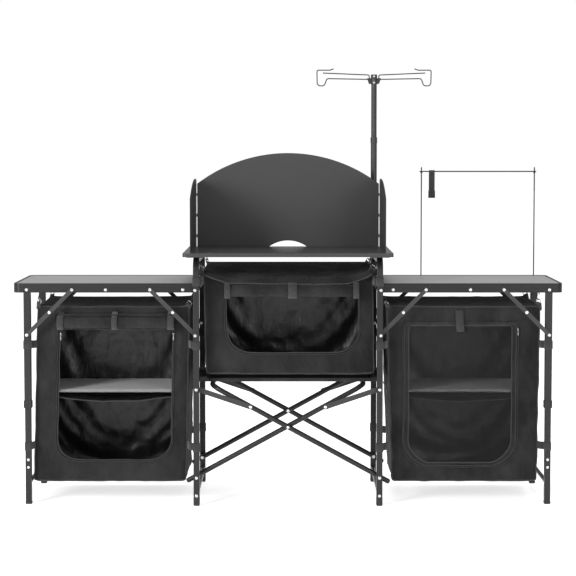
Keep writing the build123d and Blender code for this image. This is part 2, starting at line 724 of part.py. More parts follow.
def towel_clip():
    """Webbing folded over the bar with a clasp at its lower end."""
    y, top = TOWEL_Y - 4.6, TOWEL_BAR_Z
    half = 9.5
    fold = rod_x(y, top, 4.4, CLIP_X - half, CLIP_X + half)
    fold += block(CLIP_X - half, CLIP_X + half, y - 4.4, y + 4.4, 980, top)
    fold -= rod_x(y, top, 2.6, CLIP_X - half - 1, CLIP_X + half + 1)
    fold -= block(CLIP_X - half - 1, CLIP_X + half + 1, y - 2.6, y + 2.6, 988, top)
    clasp = block(CLIP_X - 11, CLIP_X + 11, y - 5.5, y + 5.5, 956, 980)
    return [fold, fillet(clasp.edges().filter_by(Axis.X), 2.0)]


def build():
    for side, name in ((-1, "left"), (1, "right")):
        write(f"{name}_side_frame", on_side(side, [side_frame()]))
        write(f"{name}_lower_rail", on_side(side, [lower_rail()]))
        write(f"{name}_frame_feet", on_side(side, frame_feet()))
        write(f"{name}_frame_rivets", on_side(side, frame_rivets(side)))
        write(f"{name}_side_links", side_links(side))
        write(f"{name}_wing_rim", on_side(side, [wing_rim(side)]))
        write(f"{name}_wing_board", on_side(side, wing_board(side)))
        write(f"{name}_wing_rivets", on_side(side, wing_rivets()))
        write(f"{name}_leg_tubes", on_side(side, front_and_rear(outer_tube())))
        write(f"{name}_leg_rivets", on_side(side, front_and_rear([outer_rivet()])))
        feet = front_and_rear([foot_tube()]) + [foot_rail()]
        write(f"{name}_foot_frame", on_side(side, feet))
        write(f"{name}_foot_buttons", on_side(side, front_and_rear(foot_buttons())))
        write(f"{name}_foot_caps", on_side(side, outer_feet()))
        upper, lower = brace_links(OUTER_X - BRACE, OUTER_X)
        write(f"{name}_outer_brace_upper", on_side(side, upper))
        write(f"{name}_outer_brace_lower", on_side(side, lower))
        upper, lower = brace_links(HINGE_X + BRACE, HINGE_X)
        write(f"{name}_inner_brace_upper", on_side(side, upper))
        write(f"{name}_inner_brace_lower", on_side(side, lower))
        write(f"{name}_shelf", on_side(side, [shelf()]))
    write("cross_arm_inner", [arm(1, ARM_INNER_Y, 0.0)])
    write("cross_arm_outer", [arm(-1, ARM_OUTER_Y, RUNNING)])
    write("cross_arm_rivets", cross_rivets())
    write("cooktop_tray", [tray()])
    write("cooktop_saddles", saddles())
    write("windscreen_back", [windscreen_back()])
    write("windscreen_left", [windscreen_side()])
    write("windscreen_right", other_side([windscreen_side()]))
    write("windscreen_hinge_rings", hinge_rings())
    left_bag = wing_cupboard((365.0, 727.0), (133.0, 553.0))
    right_bag = wing_cupboard((367.0, 720.0), (100.0, 570.0))
    door = block(367.0, 720.0, -WING_BAG_Y, -WING_BAG_Y + CLOTH, 100.0, 570.0)
    write("left_cupboard", left_bag)
    write("left_door_roll", [roll(-725, -361, 574, 20.5, -WING_BAG_Y)])
    write("right_cupboard", other_side(right_bag))
    write("right_door", [door])
    write("centre_cupboard", centre_cupboard())
    write("centre_door_roll", [roll(-200, 224, 676, 23.5, -CENTRE_BAG_Y)])
    write("lamp_clamps", lamp_clamps())
    write("lamp_pole_lower", [pole_lower()])
    write("lamp_pole_upper", [pole_upper()])
    write("lamp_head_rivets", mast_rivets())
    write("lamp_hook_left", [hook(-1)])
    write("lamp_hook_right", [hook(1)])
    write("towel_uprights", towel_uprights())
    write("towel_bar", [towel_bar()])
    write("towel_clip", towel_clip())


os.makedirs("parts", exist_ok=True)
build()
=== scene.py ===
"""Camp kitchen table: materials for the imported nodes, the cloth cupboards with their
doors, zips, straps and hangers, and a plain studio.

Metres, +X right, +Y to the rear, +Z up, floor at Z = 0. Sizes and places come from
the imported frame; what only cloth and trim need is named below."""

import math

import bmesh
import bpy
import numpy as np
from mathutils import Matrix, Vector, noise


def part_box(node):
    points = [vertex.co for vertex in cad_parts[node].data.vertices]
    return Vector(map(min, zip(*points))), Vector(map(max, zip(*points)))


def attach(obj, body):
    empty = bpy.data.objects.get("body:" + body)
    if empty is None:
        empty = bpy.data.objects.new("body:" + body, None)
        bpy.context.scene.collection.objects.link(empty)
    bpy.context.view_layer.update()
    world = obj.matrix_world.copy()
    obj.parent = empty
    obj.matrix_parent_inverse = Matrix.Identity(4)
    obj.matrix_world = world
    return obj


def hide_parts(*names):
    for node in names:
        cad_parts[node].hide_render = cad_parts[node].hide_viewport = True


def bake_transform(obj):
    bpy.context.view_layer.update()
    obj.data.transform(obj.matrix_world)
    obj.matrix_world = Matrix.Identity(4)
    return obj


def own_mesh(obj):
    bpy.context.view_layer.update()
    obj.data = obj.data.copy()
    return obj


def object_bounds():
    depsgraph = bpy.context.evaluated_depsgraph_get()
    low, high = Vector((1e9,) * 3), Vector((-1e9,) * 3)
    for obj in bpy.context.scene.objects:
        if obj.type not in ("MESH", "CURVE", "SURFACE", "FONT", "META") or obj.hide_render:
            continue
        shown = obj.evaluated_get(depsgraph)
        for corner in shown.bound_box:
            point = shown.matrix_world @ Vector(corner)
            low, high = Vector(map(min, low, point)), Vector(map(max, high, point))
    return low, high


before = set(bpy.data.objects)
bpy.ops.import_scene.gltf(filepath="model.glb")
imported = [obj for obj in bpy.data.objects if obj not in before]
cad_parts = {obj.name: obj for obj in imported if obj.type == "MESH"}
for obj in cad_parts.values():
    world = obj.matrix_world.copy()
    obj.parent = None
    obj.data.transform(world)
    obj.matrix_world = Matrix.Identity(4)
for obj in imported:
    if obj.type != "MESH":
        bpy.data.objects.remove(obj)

CAD_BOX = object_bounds()

# --- cloth and trim, metres ---------------------------------------------------
CLOTH = 0.0009
GRID = 0.012
MOVE_CAP = 0.007
CREASE = 0.0022
PIPING = 0.0015
WEBBING = 0.0013
STRAP_TALL = 0.026
STITCH_LONG = 0.0034
STITCH_GAP = 0.0024
THREAD = 0.0007
RING_RADIUS = 0.0085
RING_WIRE = 0.0013

# --- how the shells settle: frames, solver, and how firmly a point is held -----------
SIM_FRAMES = 26
SOLVER = {"quality": 5, "mass": 0.25, "tension_stiffness": 9.0, "compression_stiffness": 9.0,
          "shear_stiffness": 4.0, "bending_stiffness": 0.35, "pin_stiffness": 2.0}
HELD_PANEL, HELD_OPENING, HELD_SEAM, HELD_CORNER = 0.12, 0.35, 0.5, 0.9
HELD_REACH = 0.02
NUDGE = 0.0025


# === shader helpers ============================================================
def grey(level):
    """A linear colour from a display level of 0 to 255."""
    linear = ((level / 255 + 0.055) / 1.055) ** 2.4
    return (linear, linear, linear, 1.0)


class Finish:
    """A material under construction: its node tree, its shader and its coordinates.
    coat and sheen are each a weight and a roughness."""

    def __init__(self, name, roughness, metallic=0.0, specular=0.5, coat=(0.0, 0.03), sheen=(0.0, 0.5)):
        self.material = bpy.data.materials.new(name)
        self.material.use_nodes = True
        self.tree = self.material.node_tree
        self.shader = self.tree.nodes["Principled BSDF"]
        self.place = self.add("TexCoord").outputs["Object"]
        self.fill(self.shader, Roughness=roughness, Metallic=metallic, Specular_IOR_Level=specular,
                  Coat_Weight=coat[0], Coat_Roughness=coat[1],
                  Sheen_Weight=sheen[0], Sheen_Roughness=sheen[1])
        self.normal = None

    def feed(self, socket, value):
        """Links value to socket if it is another socket, and else stores it there."""
        if isinstance(value, bpy.types.NodeSocket):
            self.tree.links.new(value, socket)
        else:
            socket.default_value = value

    def fill(self, node, **values):
        for key, value in values.items():
            self.feed(node.inputs[key.replace("_", " ")], value)
        return node

    def add(self, kind, *inputs, **settings):
        node = self.tree.nodes.new("ShaderNode" + kind)
        for key, value in settings.items():
            setattr(node, key, value)
        for number, value in enumerate(inputs):
            self.feed(node.inputs[number], value)
        return node

    def math(self, operation, *values):
        return self.add("Math", *values, operation=operation).outputs[0]

    def noise(self, scale, detail=3.0, roughness=0.5, stretch=(1, 1, 1)):
        place = self.place
        if stretch != (1, 1, 1):
            place = self.add("VectorMath", place, stretch, operation="MULTIPLY").outputs[0]
        node = self.add("TexNoise", place)
        return self.fill(node, Scale=scale, Detail=detail, Roughness=roughness).outputs["Fac"]

    def spread(self, factor, low, high, start=0.0, end=1.0):
        """factor, as it goes from start to end, taken to run from low to high."""
        return self.add("MapRange", factor, start, end, low, high).outputs[0]

    def mix(self, factor, dark, light):
        node = self.add("Mix", data_type="RGBA")
        sockets = {s.identifier: s for s in (*node.inputs, *node.outputs)}
        for name, value in (("Factor_Float", factor), ("A_Color", dark), ("B_Color", light)):
            self.feed(sockets[name], value)
        return sockets["Result_Color"]

    def tones(self, pattern, level, dark, light):
        """The grey of level, taken by pattern from dark to light times itself."""
        return self.mix(pattern, grey(level * dark), grey(level * light))

    def colour(self, value):
        self.fill(self.shader, Base_Color=value)

    def rough(self, *spread):
        self.fill(self.shader, Roughness=self.spread(*spread))

    def bump(self, height, distance, strength=1.0):
        node = self.fill(self.add("Bump"), Strength=strength, Distance=distance, Height=height)
        if self.normal is not None:
            self.fill(node, Normal=self.normal)
        self.normal = node.outputs["Normal"]
        self.fill(self.shader, Normal=self.normal)

    def grain(self, *scale_and_height):
        """A bump of fine noise for each pair of scale and height."""
        for scale, height in scale_and_height:
            self.bump(self.noise(scale, 2), height)

    def axes(self):
        return self.add("SeparateXYZ", self.place).outputs

    def wave(self, axis, pitch):
        """A sine of the given pitch along one coordinate, from -1 to 1."""
        return self.math("SINE", self.math("MULTIPLY", axis, 2 * math.pi / pitch))


# === materials ==================================================================
RIVET_RADIUS = 0.0054


def powder_coat(name, level, roughness=0.32):
    """Satin powder coat over metal: orange peel, faint scuffs, and a dusting that
    varies slowly over the tube."""
    finish = Finish(name, roughness, specular=0.3, coat=(0.05, 0.3))
    scuffs = finish.spread(finish.noise(70, 6, 0.7, (1, 1, 0.22)), 0, 1, 0.62, 0.74)
    base = finish.tones(finish.noise(9, 2), level, 0.9, 1.1)
    finish.colour(finish.mix(scuffs, base, grey(level * 1.35)))
    finish.rough(finish.noise(160, 3), roughness - 0.08, roughness + 0.1)
    finish.grain((1500, 0.00012))
    return finish


def bright_metal(name, level=214):
    finish = Finish(name, 0.26, metallic=1.0)
    finish.colour(finish.tones(finish.noise(240, 4), level, 0.88, 1))
    finish.rough(finish.noise(900, 3), 0.18, 0.36)
    finish.grain((1400, 0.00006))
    return finish


def link_coat(name, level, rivets, face):
    """Painted flat link whose rivet heads are bright: rivets are (x, z) centres, and
    face the distance from the centre plane past which a head stands."""
    finish = powder_coat(name, level)
    painted = finish.shader.inputs["Base Color"].links[0].from_socket
    x, y, z = finish.axes()
    inside = None
    for at_x, at_z in rivets:
        flat = finish.add("CombineXYZ", finish.math("SUBTRACT", x, at_x), 0.0,
                          finish.math("SUBTRACT", z, at_z)).outputs[0]
        away = finish.add("VectorMath", flat, operation="LENGTH").outputs["Value"]
        near = finish.math("LESS_THAN", away, RIVET_RADIUS)
        inside = near if inside is None else finish.math("MAXIMUM", inside, near)
    proud = finish.math("GREATER_THAN", finish.math("ABSOLUTE", y), face)
    head = finish.math("MULTIPLY", inside, proud)
    finish.colour(finish.mix(head, painted, grey(220)))
    finish.fill(finish.shader, Metallic=head)
    finish.rough(head, 0.42, 0.22)
    return finish


def moulded(name, level):
    finish = Finish(name, 0.55, specular=0.45)
    finish.colour(finish.tones(finish.noise(30, 3), level, 0.85, 1.15))
    finish.rough(finish.noise(300, 3), 0.46, 0.66)
    finish.grain((2200, 0.00018))
    return finish


def extrusion(name, level):
    """Anodised extrusion with fine drawn lines along it."""
    finish = Finish(name, 0.36, metallic=0.55)
    _, _, z = finish.axes()
    lines = finish.wave(z, 0.0042)
    streaks = finish.noise(14, 4, 0.6, (0.4, 0.4, 60))
    tone = finish.tones(streaks, level, 0.86, 1.14)
    finish.colour(finish.mix(finish.spread(lines, 0, 1, 0.5, 1.0), tone, grey(level * 1.28)))
    finish.rough(streaks, 0.3, 0.46)
    finish.bump(lines, 0.00022)
    finish.bump(finish.noise(900, 2, 0.5, (0.1, 0.1, 1)), 0.00008)
    return finish


def worktop(name, level, pitch=0.0046):
    """Grey aluminium-faced board, embossed all over with small raised dots."""
    finish = Finish(name, 0.42, metallic=0.25)
    x, y, _ = finish.axes()
    dots = finish.math("MULTIPLY", finish.wave(x, pitch), finish.wave(y, pitch))
    raised = finish.spread(dots, 0, 1, 0.25, 0.9)
    cloudy = finish.tones(finish.noise(7, 3), level, 0.95, 1.04)
    finish.colour(finish.mix(raised, cloudy, grey(level * 1.12)))
    finish.rough(finish.noise(120, 4), 0.34, 0.52)
    finish.bump(raised, 0.0003)
    return finish


def sheet_metal(name, level, roughness, coat):
    """Coated sheet: a fine satin grain with a faint rolled direction."""
    finish = Finish(name, roughness, coat=(coat, 0.12))
    fine = finish.noise(420, 4, 0.6, (0.35, 1, 1))
    base = finish.tones(finish.noise(4, 3), level, 0.92, 1.08)
    finish.colour(finish.mix(finish.spread(fine, 0, 0.5), base, grey(level * 1.2)))
    finish.rough(fine, roughness - 0.05, roughness + 0.07)
    finish.grain((1600, 0.00008))
    return finish


def woven(name, level, thread=0.0011, roughness=0.84, sheen=0.08):
    """Oxford cloth: a plain weave of two-ply threads, slubs, and broad tone patches: slight fading,
    stretched into painted light and shade that stand in for soft folds.
    """
    finish = Finish(name, roughness, specular=0.12, sheen=(sheen, 0.45))
    x, y, z = (finish.wave(a, thread) for a in finish.axes())
    xz, yz, xy = (finish.math("MULTIPLY", a, b) for a, b in ((x, z), (y, z), (x, y)))
    weave = finish.math("ADD", finish.math("ADD", xz, yz), xy)
    slubs = finish.noise(520, 3, 0.6)
    # painted light and shade: broad lighter and darker patches over a slight fading, standing in for the
    # shading of soft folds
    fading_and_fold_shade = finish.spread(finish.noise(7, 5, 0.6, (1.4, 1, 0.8)), 0, 1, 0.34, 0.66)
    base = finish.tones(fading_and_fold_shade, level, 0.62, 1.34)
    base = finish.mix(finish.spread(weave, 0, 0.5, -0.6, 1.2), base, grey(level * 1.35))
    finish.colour(finish.mix(finish.spread(slubs, 0, 0.35, 0.45, 0.8), base, grey(level * 0.7)))
    finish.rough(slubs, roughness - 0.08, roughness + 0.08)
    finish.bump(finish.noise(9, 3, 0.5, (1.5, 1, 0.7)), 0.04, 0.7)
    finish.bump(finish.noise(30, 4, 0.55), 0.004, 0.6)
    finish.bump(weave, 0.00016)
    return finish


def lining(name, level):
    """The coated inner face of the cloth: dark, glossy and sharply creased."""
    finish = Finish(name, 0.4, specular=0.3, coat=(0.22, 0.24))
    large = finish.noise(13, 5, 0.6, (1.6, 1, 0.7))
    ridges = finish.math("ABSOLUTE", finish.math("SUBTRACT", large, 0.5))
    facets = finish.fill(finish.add("TexVoronoi", finish.place, feature="SMOOTH_F1"),
                         Scale=22, Smoothness=0.35)
    creases = finish.noise(60, 6, 0.7)
    finish.colour(finish.tones(large, level, 0.7, 1.25))
    finish.rough(creases, 0.22, 0.4)
    finish.bump(facets.outputs["Distance"], 0.006, 0.6)
    finish.bump(ridges, 0.007, 0.7)
    finish.bump(creases, 0.0016, 0.5)
    finish.grain((900, 0.0001))
    return finish


def webbing(name, level):
    """Ribbed polypropylene webbing."""
    finish = Finish(name, 0.7, specular=0.3, sheen=(0.2, 0.5))
    x, y, z = finish.axes()
    ribs = finish.wave(z, 0.0024)
    twill = finish.math("MULTIPLY", ribs, finish.wave(finish.math("ADD", x, y), 0.0019))
    base = finish.tones(finish.noise(18, 3), level, 0.85, 1.15)
    finish.colour(finish.mix(finish.spread(twill, 0, 0.6, -0.5, 1), base, grey(level * 1.4)))
    finish.rough(finish.noise(400, 3), 0.6, 0.8)
    finish.bump(ribs, 0.0002)
    finish.bump(twill, 0.00015)
    return finish


def netting(name, level, pitch=0.0022, thread=0.38):
    """Square mesh: threads with open holes between, through the alpha."""
    finish = Finish(name, 0.75, specular=0.25, sheen=(0.15, 0.5))
    x, _, z = finish.axes()
    across, down = (finish.math("ABSOLUTE", finish.wave(a, 2 * pitch)) for a in (x, z))
    narrow = finish.math("MINIMUM", across, down)
    finish.colour(finish.tones(finish.noise(9, 3), level, 0.85, 1.2))
    finish.fill(finish.shader, Alpha=finish.math("LESS_THAN", narrow, thread))
    finish.rough(finish.noise(300, 2), 0.65, 0.85)
    finish.bump(narrow, 0.0003)
    return finish


def board(name, level):
    """Light laminate shelf board with a faint grain and handling marks."""
    finish = Finish(name, 0.4, specular=0.45)
    grain = finish.noise(30, 5, 0.6, (0.25, 1, 1))
    marks = finish.spread(finish.noise(55, 5, 0.65), 0, 0.4, 0.6, 0.8)
    base = finish.tones(grain, level, 0.95, 1.04)
    finish.colour(finish.mix(marks, base, grey(level * 0.86)))
    finish.rough(grain, 0.34, 0.5)
    finish.bump(grain, 0.00015)
    return finish


def zip_teeth(name, level):
    """Coil zip on its tape: closely spaced ribs along the run."""
    finish = Finish(name, 0.5)
    x, _, z = finish.axes()
    teeth = finish.wave(finish.math("ADD", x, z), 0.0016)
    base = finish.tones(finish.noise(40, 2), level, 0.9, 1.1)
    finish.colour(finish.mix(finish.spread(teeth, 0, 1, -0.2, 0.8), base, grey(level * 1.6)))
    finish.rough(teeth, 0.6, 0.4, -1, 1)
    finish.bump(teeth, 0.0003)
    return finish


def studio_paper():
    """White paper, bright enough to stay white round the table's soft shadow."""
    finish = Finish("studio_floor", 0.9, specular=0.05)
    finish.colour(finish.mix(finish.noise(0.8, 2), grey(246), grey(250)))
    finish.fill(finish.shader, Emission_Color=(1.0, 1.0, 1.0, 1.0), Emission_Strength=0.62)
    return finish


# === mesh helpers ================================================================
def shown(name, data):
    """A new object of data, in the scene."""
    made = bpy.data.objects.new(name, data)
    bpy.context.scene.collection.objects.link(made)
    return made


def piece(name, vertices, faces, finishes, smooth=True, face_finish=None):
    """A mesh object from points and faces, with its materials."""
    mesh = bpy.data.meshes.new(name)
    mesh.from_pydata([tuple(v) for v in vertices], [], [tuple(f) for f in faces])
    for finish in finishes:
        mesh.materials.append(finish.material)
    for number, polygon in enumerate(mesh.polygons):
        polygon.use_smooth = smooth
        if face_finish is not None:
            polygon.material_index = face_finish[number]
    mesh.update()
    return shown(name, mesh)


def applied(made):
    """made with its modifiers turned into mesh."""
    graph = bpy.context.evaluated_depsgraph_get()
    mesh = bpy.data.meshes.new_from_object(made.evaluated_get(graph))
    made.modifiers.clear()
    old = made.data
    made.data = mesh
    bpy.data.meshes.remove(old)
    return made


def joined(name, parts):
    """One object of several with the same materials."""
    mesh = bmesh.new()
    for part in parts:
        mesh.from_mesh(part.data)
    whole = parts[0].data.copy()
    mesh.to_mesh(whole)
    mesh.free()
    for part in parts:
        bpy.data.objects.remove(part)
    return shown(name, whole)


def rounded_path(points, radius, steps=5, closed=False):
    """The points with every corner turned into an arc of about radius."""
    points = [Vector(p) for p in points]
    made = []
    count = len(points)
    for i, corner in enumerate(points):
        if not closed and i in (0, count - 1):
            made.append(corner)
            continue
        before, after = points[i - 1] - corner, points[(i + 1) % count] - corner
        reach = min(radius, before.length * 0.45, after.length * 0.45)
        start, end = corner + before.normalized() * reach, corner + after.normalized() * reach
        for step in range(steps + 1):
            t = step / steps
            made.append(start * (1 - t) ** 2 + corner * 2 * t * (1 - t) + end * t * t)
    return made


def directions(points, closed):
    """Which way a run of points goes at each of them."""
    count = len(points)
    for i, point in enumerate(points):
        last = points[i - 1] if i or closed else point
        following = points[(i + 1) % count] if i < count - 1 or closed else point
        yield (following - last).normalized()


def wall(sides, rings, closed=False, flip=False):
    """The faces that join rings of sides points each, with end caps unless closed."""
    faces = []
    for i in range(rings if closed else rings - 1):
        a, b = i * sides, (i + 1) % rings * sides
        for k in range(sides):
            n = (k + 1) % sides
            faces.append((a + k, b + k, b + n, a + n) if flip else (a + k, a + n, b + n, b + k))
    if not closed:
        first, last = range(sides), range((rings - 1) * sides, rings * sides)
        faces += [first, last[::-1]] if flip else [first[::-1], last]
    return faces


def grid_faces(columns, rows, flip=False):
    """The faces of a sheet whose points run row after row."""
    stride = columns + 1
    corners = (0, stride, stride + 1, 1) if flip else (0, 1, stride + 1, stride)
    return [[j * stride + i + c for c in corners] for j in range(rows) for i in range(columns)]


def tube(name, points, radius, finish, sides=8, closed=False):
    """A round tube along points, with its ends closed."""
    points = [Vector(p) for p in points]
    vertices, side = [], None
    for point, along in zip(points, directions(points, closed)):
        if side is None:
            side = along.orthogonal().normalized()
        side = (side - along * side.dot(along)).normalized()
        up = along.cross(side)
        for k in range(sides):
            turn = 2 * math.pi * k / sides
            vertices.append(point + (side * math.cos(turn) + up * math.sin(turn)) * radius)
    return piece(name, vertices, wall(sides, len(points), closed), [finish])


def band(name, points, across, width, thick, finish, closed=False):
    """Flat webbing along points: across is the direction of its width."""
    points = [Vector(p) for p in points]
    across = Vector(across).normalized()
    half, deep = width / 2, thick / 2
    flat = half - min(thick * 0.45, width * 0.1)
    outline = [(-flat, -deep), (flat, -deep), (half, 0), (flat, deep), (-flat, deep), (-half, 0)]
    vertices = []
    for point, along in zip(points, directions(points, closed)):
        out = along.cross(across).normalized()
        vertices += [point + across * w + out * t for w, t in outline]
    return piece(name, vertices, wall(len(outline), len(points), closed, True), [finish])


def stitches(name, points, finish):
    """A row of short raised threads along points."""
    points = [Vector(p) for p in points]
    vertices, faces = [], []
    drawing, left = True, STITCH_LONG
    start = points[0]
    for a, b in zip(points, points[1:]):
        run = (b - a).length
        if run < 1e-9:
            continue
        along = (b - a) / run
        at = 0.0
        while at < run:
            step = min(left, run - at)
            at += step
            left -= step
            if left > 1e-9:
                continue
            here = a + along * at
            if drawing:
                add_thread(vertices, faces, start, here)
            start = here
            drawing = not drawing
            left = STITCH_LONG if drawing else STITCH_GAP
    return piece(name, vertices, faces, [finish])


def add_thread(vertices, faces, start, end):
    along = (end - start).normalized()
    side = along.orthogonal().normalized() * THREAD / 2
    up = along.cross(side)
    first, middle = len(vertices), (start + end) / 2
    vertices += [start, *(middle + offset for offset in (side, up, -side, -up)), end]
    for k in range(4):
        n = (k + 1) % 4
        faces.append((first, first + 1 + n, first + 1 + k))
        faces.append((first + 5, first + 1 + k, first + 1 + n))


def ring(name, centre, axis, radius, wire, finish, steps=28):
    """A wire ring about axis."""
    axis = Vector(axis).normalized()
    side = axis.orthogonal().normalized()
    up = axis.cross(side)
    turns = [2 * math.pi * i / steps for i in range(steps)]
    points = [Vector(centre) + (side * math.cos(t) + up * math.sin(t)) * radius for t in turns]
    return tube(name, points, wire, finish, closed=True)


# === cloth cupboards =============================================================
def round_corner(x, z, hole):
    """A point of hole's rectangle, moved so that its corners follow their radii."""
    x0, x1, z0, z1, low, high = hole
    radius = low if z < (z0 + z1) / 2 else high
    cx = x0 + radius if x < (x0 + x1) / 2 else x1 - radius
    cz = z0 + radius if z < (z0 + z1) / 2 else z1 - radius
    out_x = (cx - x if cx == x0 + radius else x - cx) / radius
    out_z = (cz - z if cz == z0 + radius else z - cz) / radius
    if out_x <= 0 or out_z <= 0:
        return x, z
    new_x = out_x * math.sqrt(1 - out_z * out_z / 2) * radius
    new_z = out_z * math.sqrt(1 - out_x * out_x / 2) * radius
    return (cx - new_x if cx == x0 + radius else cx + new_x,
            cz - new_z if cz == z0 + radius else cz + new_z)


class Shell:
    """Vertices and faces of a sewn shell, with shared seams and named runs."""

    def __init__(self):
        self.vertices, self.faces, self.index = [], [], {}
        self.runs, self.weights = {}, []

    def point(self, x, y, z):
        key = (round(x, 5), round(y, 5), round(z, 5))
        if key not in self.index:
            self.index[key] = len(self.vertices)
            self.vertices.append(Vector((x, y, z)))
        return self.index[key]

    def grid(self, origin, across, up, columns, rows, flip=False):
        origin, across, up = Vector(origin), Vector(across), Vector(up)
        rung = [[self.point(*(origin + across * (i / columns) + up * (j / rows)))
                 for i in range(columns + 1)] for j in range(rows + 1)]
        for j in range(rows):
            for i in range(columns):
                face = (rung[j][i], rung[j][i + 1], rung[j + 1][i + 1], rung[j + 1][i])
                self.faces.append(face[::-1] if flip else face)

    def front(self, low, high, hole, columns, rows, rings):
        """The front panel with its door opening, as rings from its edge inwards."""
        x0, x1, z0, z1 = hole[:4]
        outer = ([(i / columns, 0.0) for i in range(columns)]
                 + [(1.0, j / rows) for j in range(rows)]
                 + [(1 - i / columns, 1.0) for i in range(columns)]
                 + [(0.0, 1 - j / rows) for j in range(rows)])
        loops = []
        for r in range(rings + 1):
            t = r / rings
            loop = []
            for u, v in outer:
                edge = Vector((low.x + (high.x - low.x) * u, low.z + (high.z - low.z) * v))
                inner = Vector(round_corner(x0 + (x1 - x0) * u, z0 + (z1 - z0) * v, hole))
                at = edge.lerp(inner, t)
                loop.append(self.point(at.x, low.y, at.y))
            loops.append(loop)
        for a, b in zip(loops, loops[1:]):
            for k in range(len(outer)):
                n = (k + 1) % len(outer)
                self.faces.append((a[k], a[n], b[n], b[k]))
        self.runs["edge"], self.runs["opening"] = loops[0], loops[-1]
        self.runs["hem"] = loops[-2]


def cupboard_shell(low, high, hole, held, front_drop, lean):
    """The sewn box: front with its opening, back, sides, bottom and top. held are the
    spots that hangers and straps pull on. front_drop lowers the top's front edge
    between its corners. lean is how far the foot of the low and the high side stand
    to the right, and how far in from a side that reaches."""
    shell = Shell()
    size = high - low
    columns, depth, rows = (max(4, round(s / GRID)) for s in size)
    shell.front(low, high, hole, columns, rows, 5)
    shell.grid((low.x, high.y, low.z), (size.x, 0, 0), (0, 0, size.z), columns, rows, True)
    shell.grid((low.x, low.y, low.z), (0, size.y, 0), (0, 0, size.z), depth, rows, True)
    shell.grid((high.x, low.y, low.z), (0, size.y, 0), (0, 0, size.z), depth, rows)
    shell.grid((low.x, low.y, low.z), (size.x, 0, 0), (0, size.y, 0), columns, depth, True)
    shell.grid((low.x, low.y, high.z), (size.x, 0, 0), (0, size.y, 0), columns, depth)
    shell.weights = [seam_weight(v, low, high, held) for v in shell.vertices]
    for k in shell.runs["opening"]:
        shell.weights[k] = max(shell.weights[k], HELD_OPENING)
    for v in shell.vertices:
        front = 1 - (v.y - low.y) / size.y
        up = max(0.0, v.z - hole[3]) / (high.z - hole[3])
        end = min(v.x - low.x, high.x - v.x) / size.x
        v.z -= front_drop * front * up * top_line(end)
        v.z += REAR_RISE * (1 - front) * up * (front_drop == 0)
        down = (high.z - v.z) / size.z
        near, far = (max(0.0, 1 - away / lean[2]) for away in (v.x - low.x, high.x - v.x))
        v.x += down * (lean[0] * near + lean[1] * far)
    return shell


def top_line(end):
    """How much of the drop a top edge has, at end of its length from its nearer end."""
    return 0.1 + 0.9 * min(1, end / 0.14) ** 0.8


def seam_weight(point, low, high, held):
    """How firmly a point is held: fully at the straps, less along a seam, barely in a
    panel's middle."""
    near = sum(min(abs(point[k] - low[k]), abs(point[k] - high[k])) < 0.002 for k in range(3))
    weight = {2: HELD_SEAM, 3: HELD_CORNER}.get(near, HELD_PANEL)
    for spot in held:
        weight = max(weight, 1.0 - (point - spot).length / HELD_REACH)
    return weight


def simulate(made, weights, slack):
    """Hangs the shell from what holds it, lets it settle, and keeps each point within
    MOVE_CAP of where it was sewn, but for a crease of CREASE."""
    rest = [v.co.copy() for v in made.data.vertices]
    group = made.vertex_groups.new(name="held")
    for v in made.data.vertices:
        group.add([v.index], weights[v.index], "REPLACE")
        v.co += noise.noise_vector(v.co * 17.0) * NUDGE * (1 - group.weight(v.index))
    cloth = made.modifiers.new("cloth", "CLOTH")
    for key, value in SOLVER.items():
        setattr(cloth.settings, key, value)
    cloth.settings.vertex_group_mass = "held"
    cloth.settings.shrink_min = -slack
    cloth.collision_settings.use_collision = False
    cloth.point_cache.frame_start, cloth.point_cache.frame_end = 1, SIM_FRAMES
    for step in range(1, SIM_FRAMES + 1):
        bpy.context.scene.frame_set(step)
    applied(made)
    bpy.context.scene.frame_set(1)
    for v, start in zip(made.data.vertices, rest):
        moved = v.co - start
        if moved.length > 1e-9:
            moved *= MOVE_CAP * math.tanh(moved.length / MOVE_CAP) / moved.length
        ridge = max(0.0, 1 - 4 * abs(noise.noise(start * 11.0))) ** 2
        v.co = start + moved + v.normal * CREASE * ridge * (1 - weights[v.index])
    made.vertex_groups.clear()


def cloth_layer(made, offset):
    """Gives a sheet its thickness: inwards for an offset of -1, both ways for 0."""
    layer = made.modifiers.new("cloth_thickness", "SOLIDIFY")
    layer.thickness, layer.offset = CLOTH, offset
    return layer


def thicken(made, inside):
    """Rounds the settled shell once and gives the cloth its thickness, with the
    coated face inwards."""
    made.data.materials.append(inside.material)
    rounder = made.modifiers.new("round", "SUBSURF")
    rounder.levels = rounder.render_levels = 1
    layer = cloth_layer(made, -1)
    layer.material_offset, layer.material_offset_rim = 1, 0
    applied(made)
    for polygon in made.data.polygons:
        polygon.use_smooth = True


def run_points(made, run, back):
    """The settled places of a run of the shell's vertices, moved to the rear by back."""
    return [made.data.vertices[i].co + Vector((0, back, 0)) for i in run]


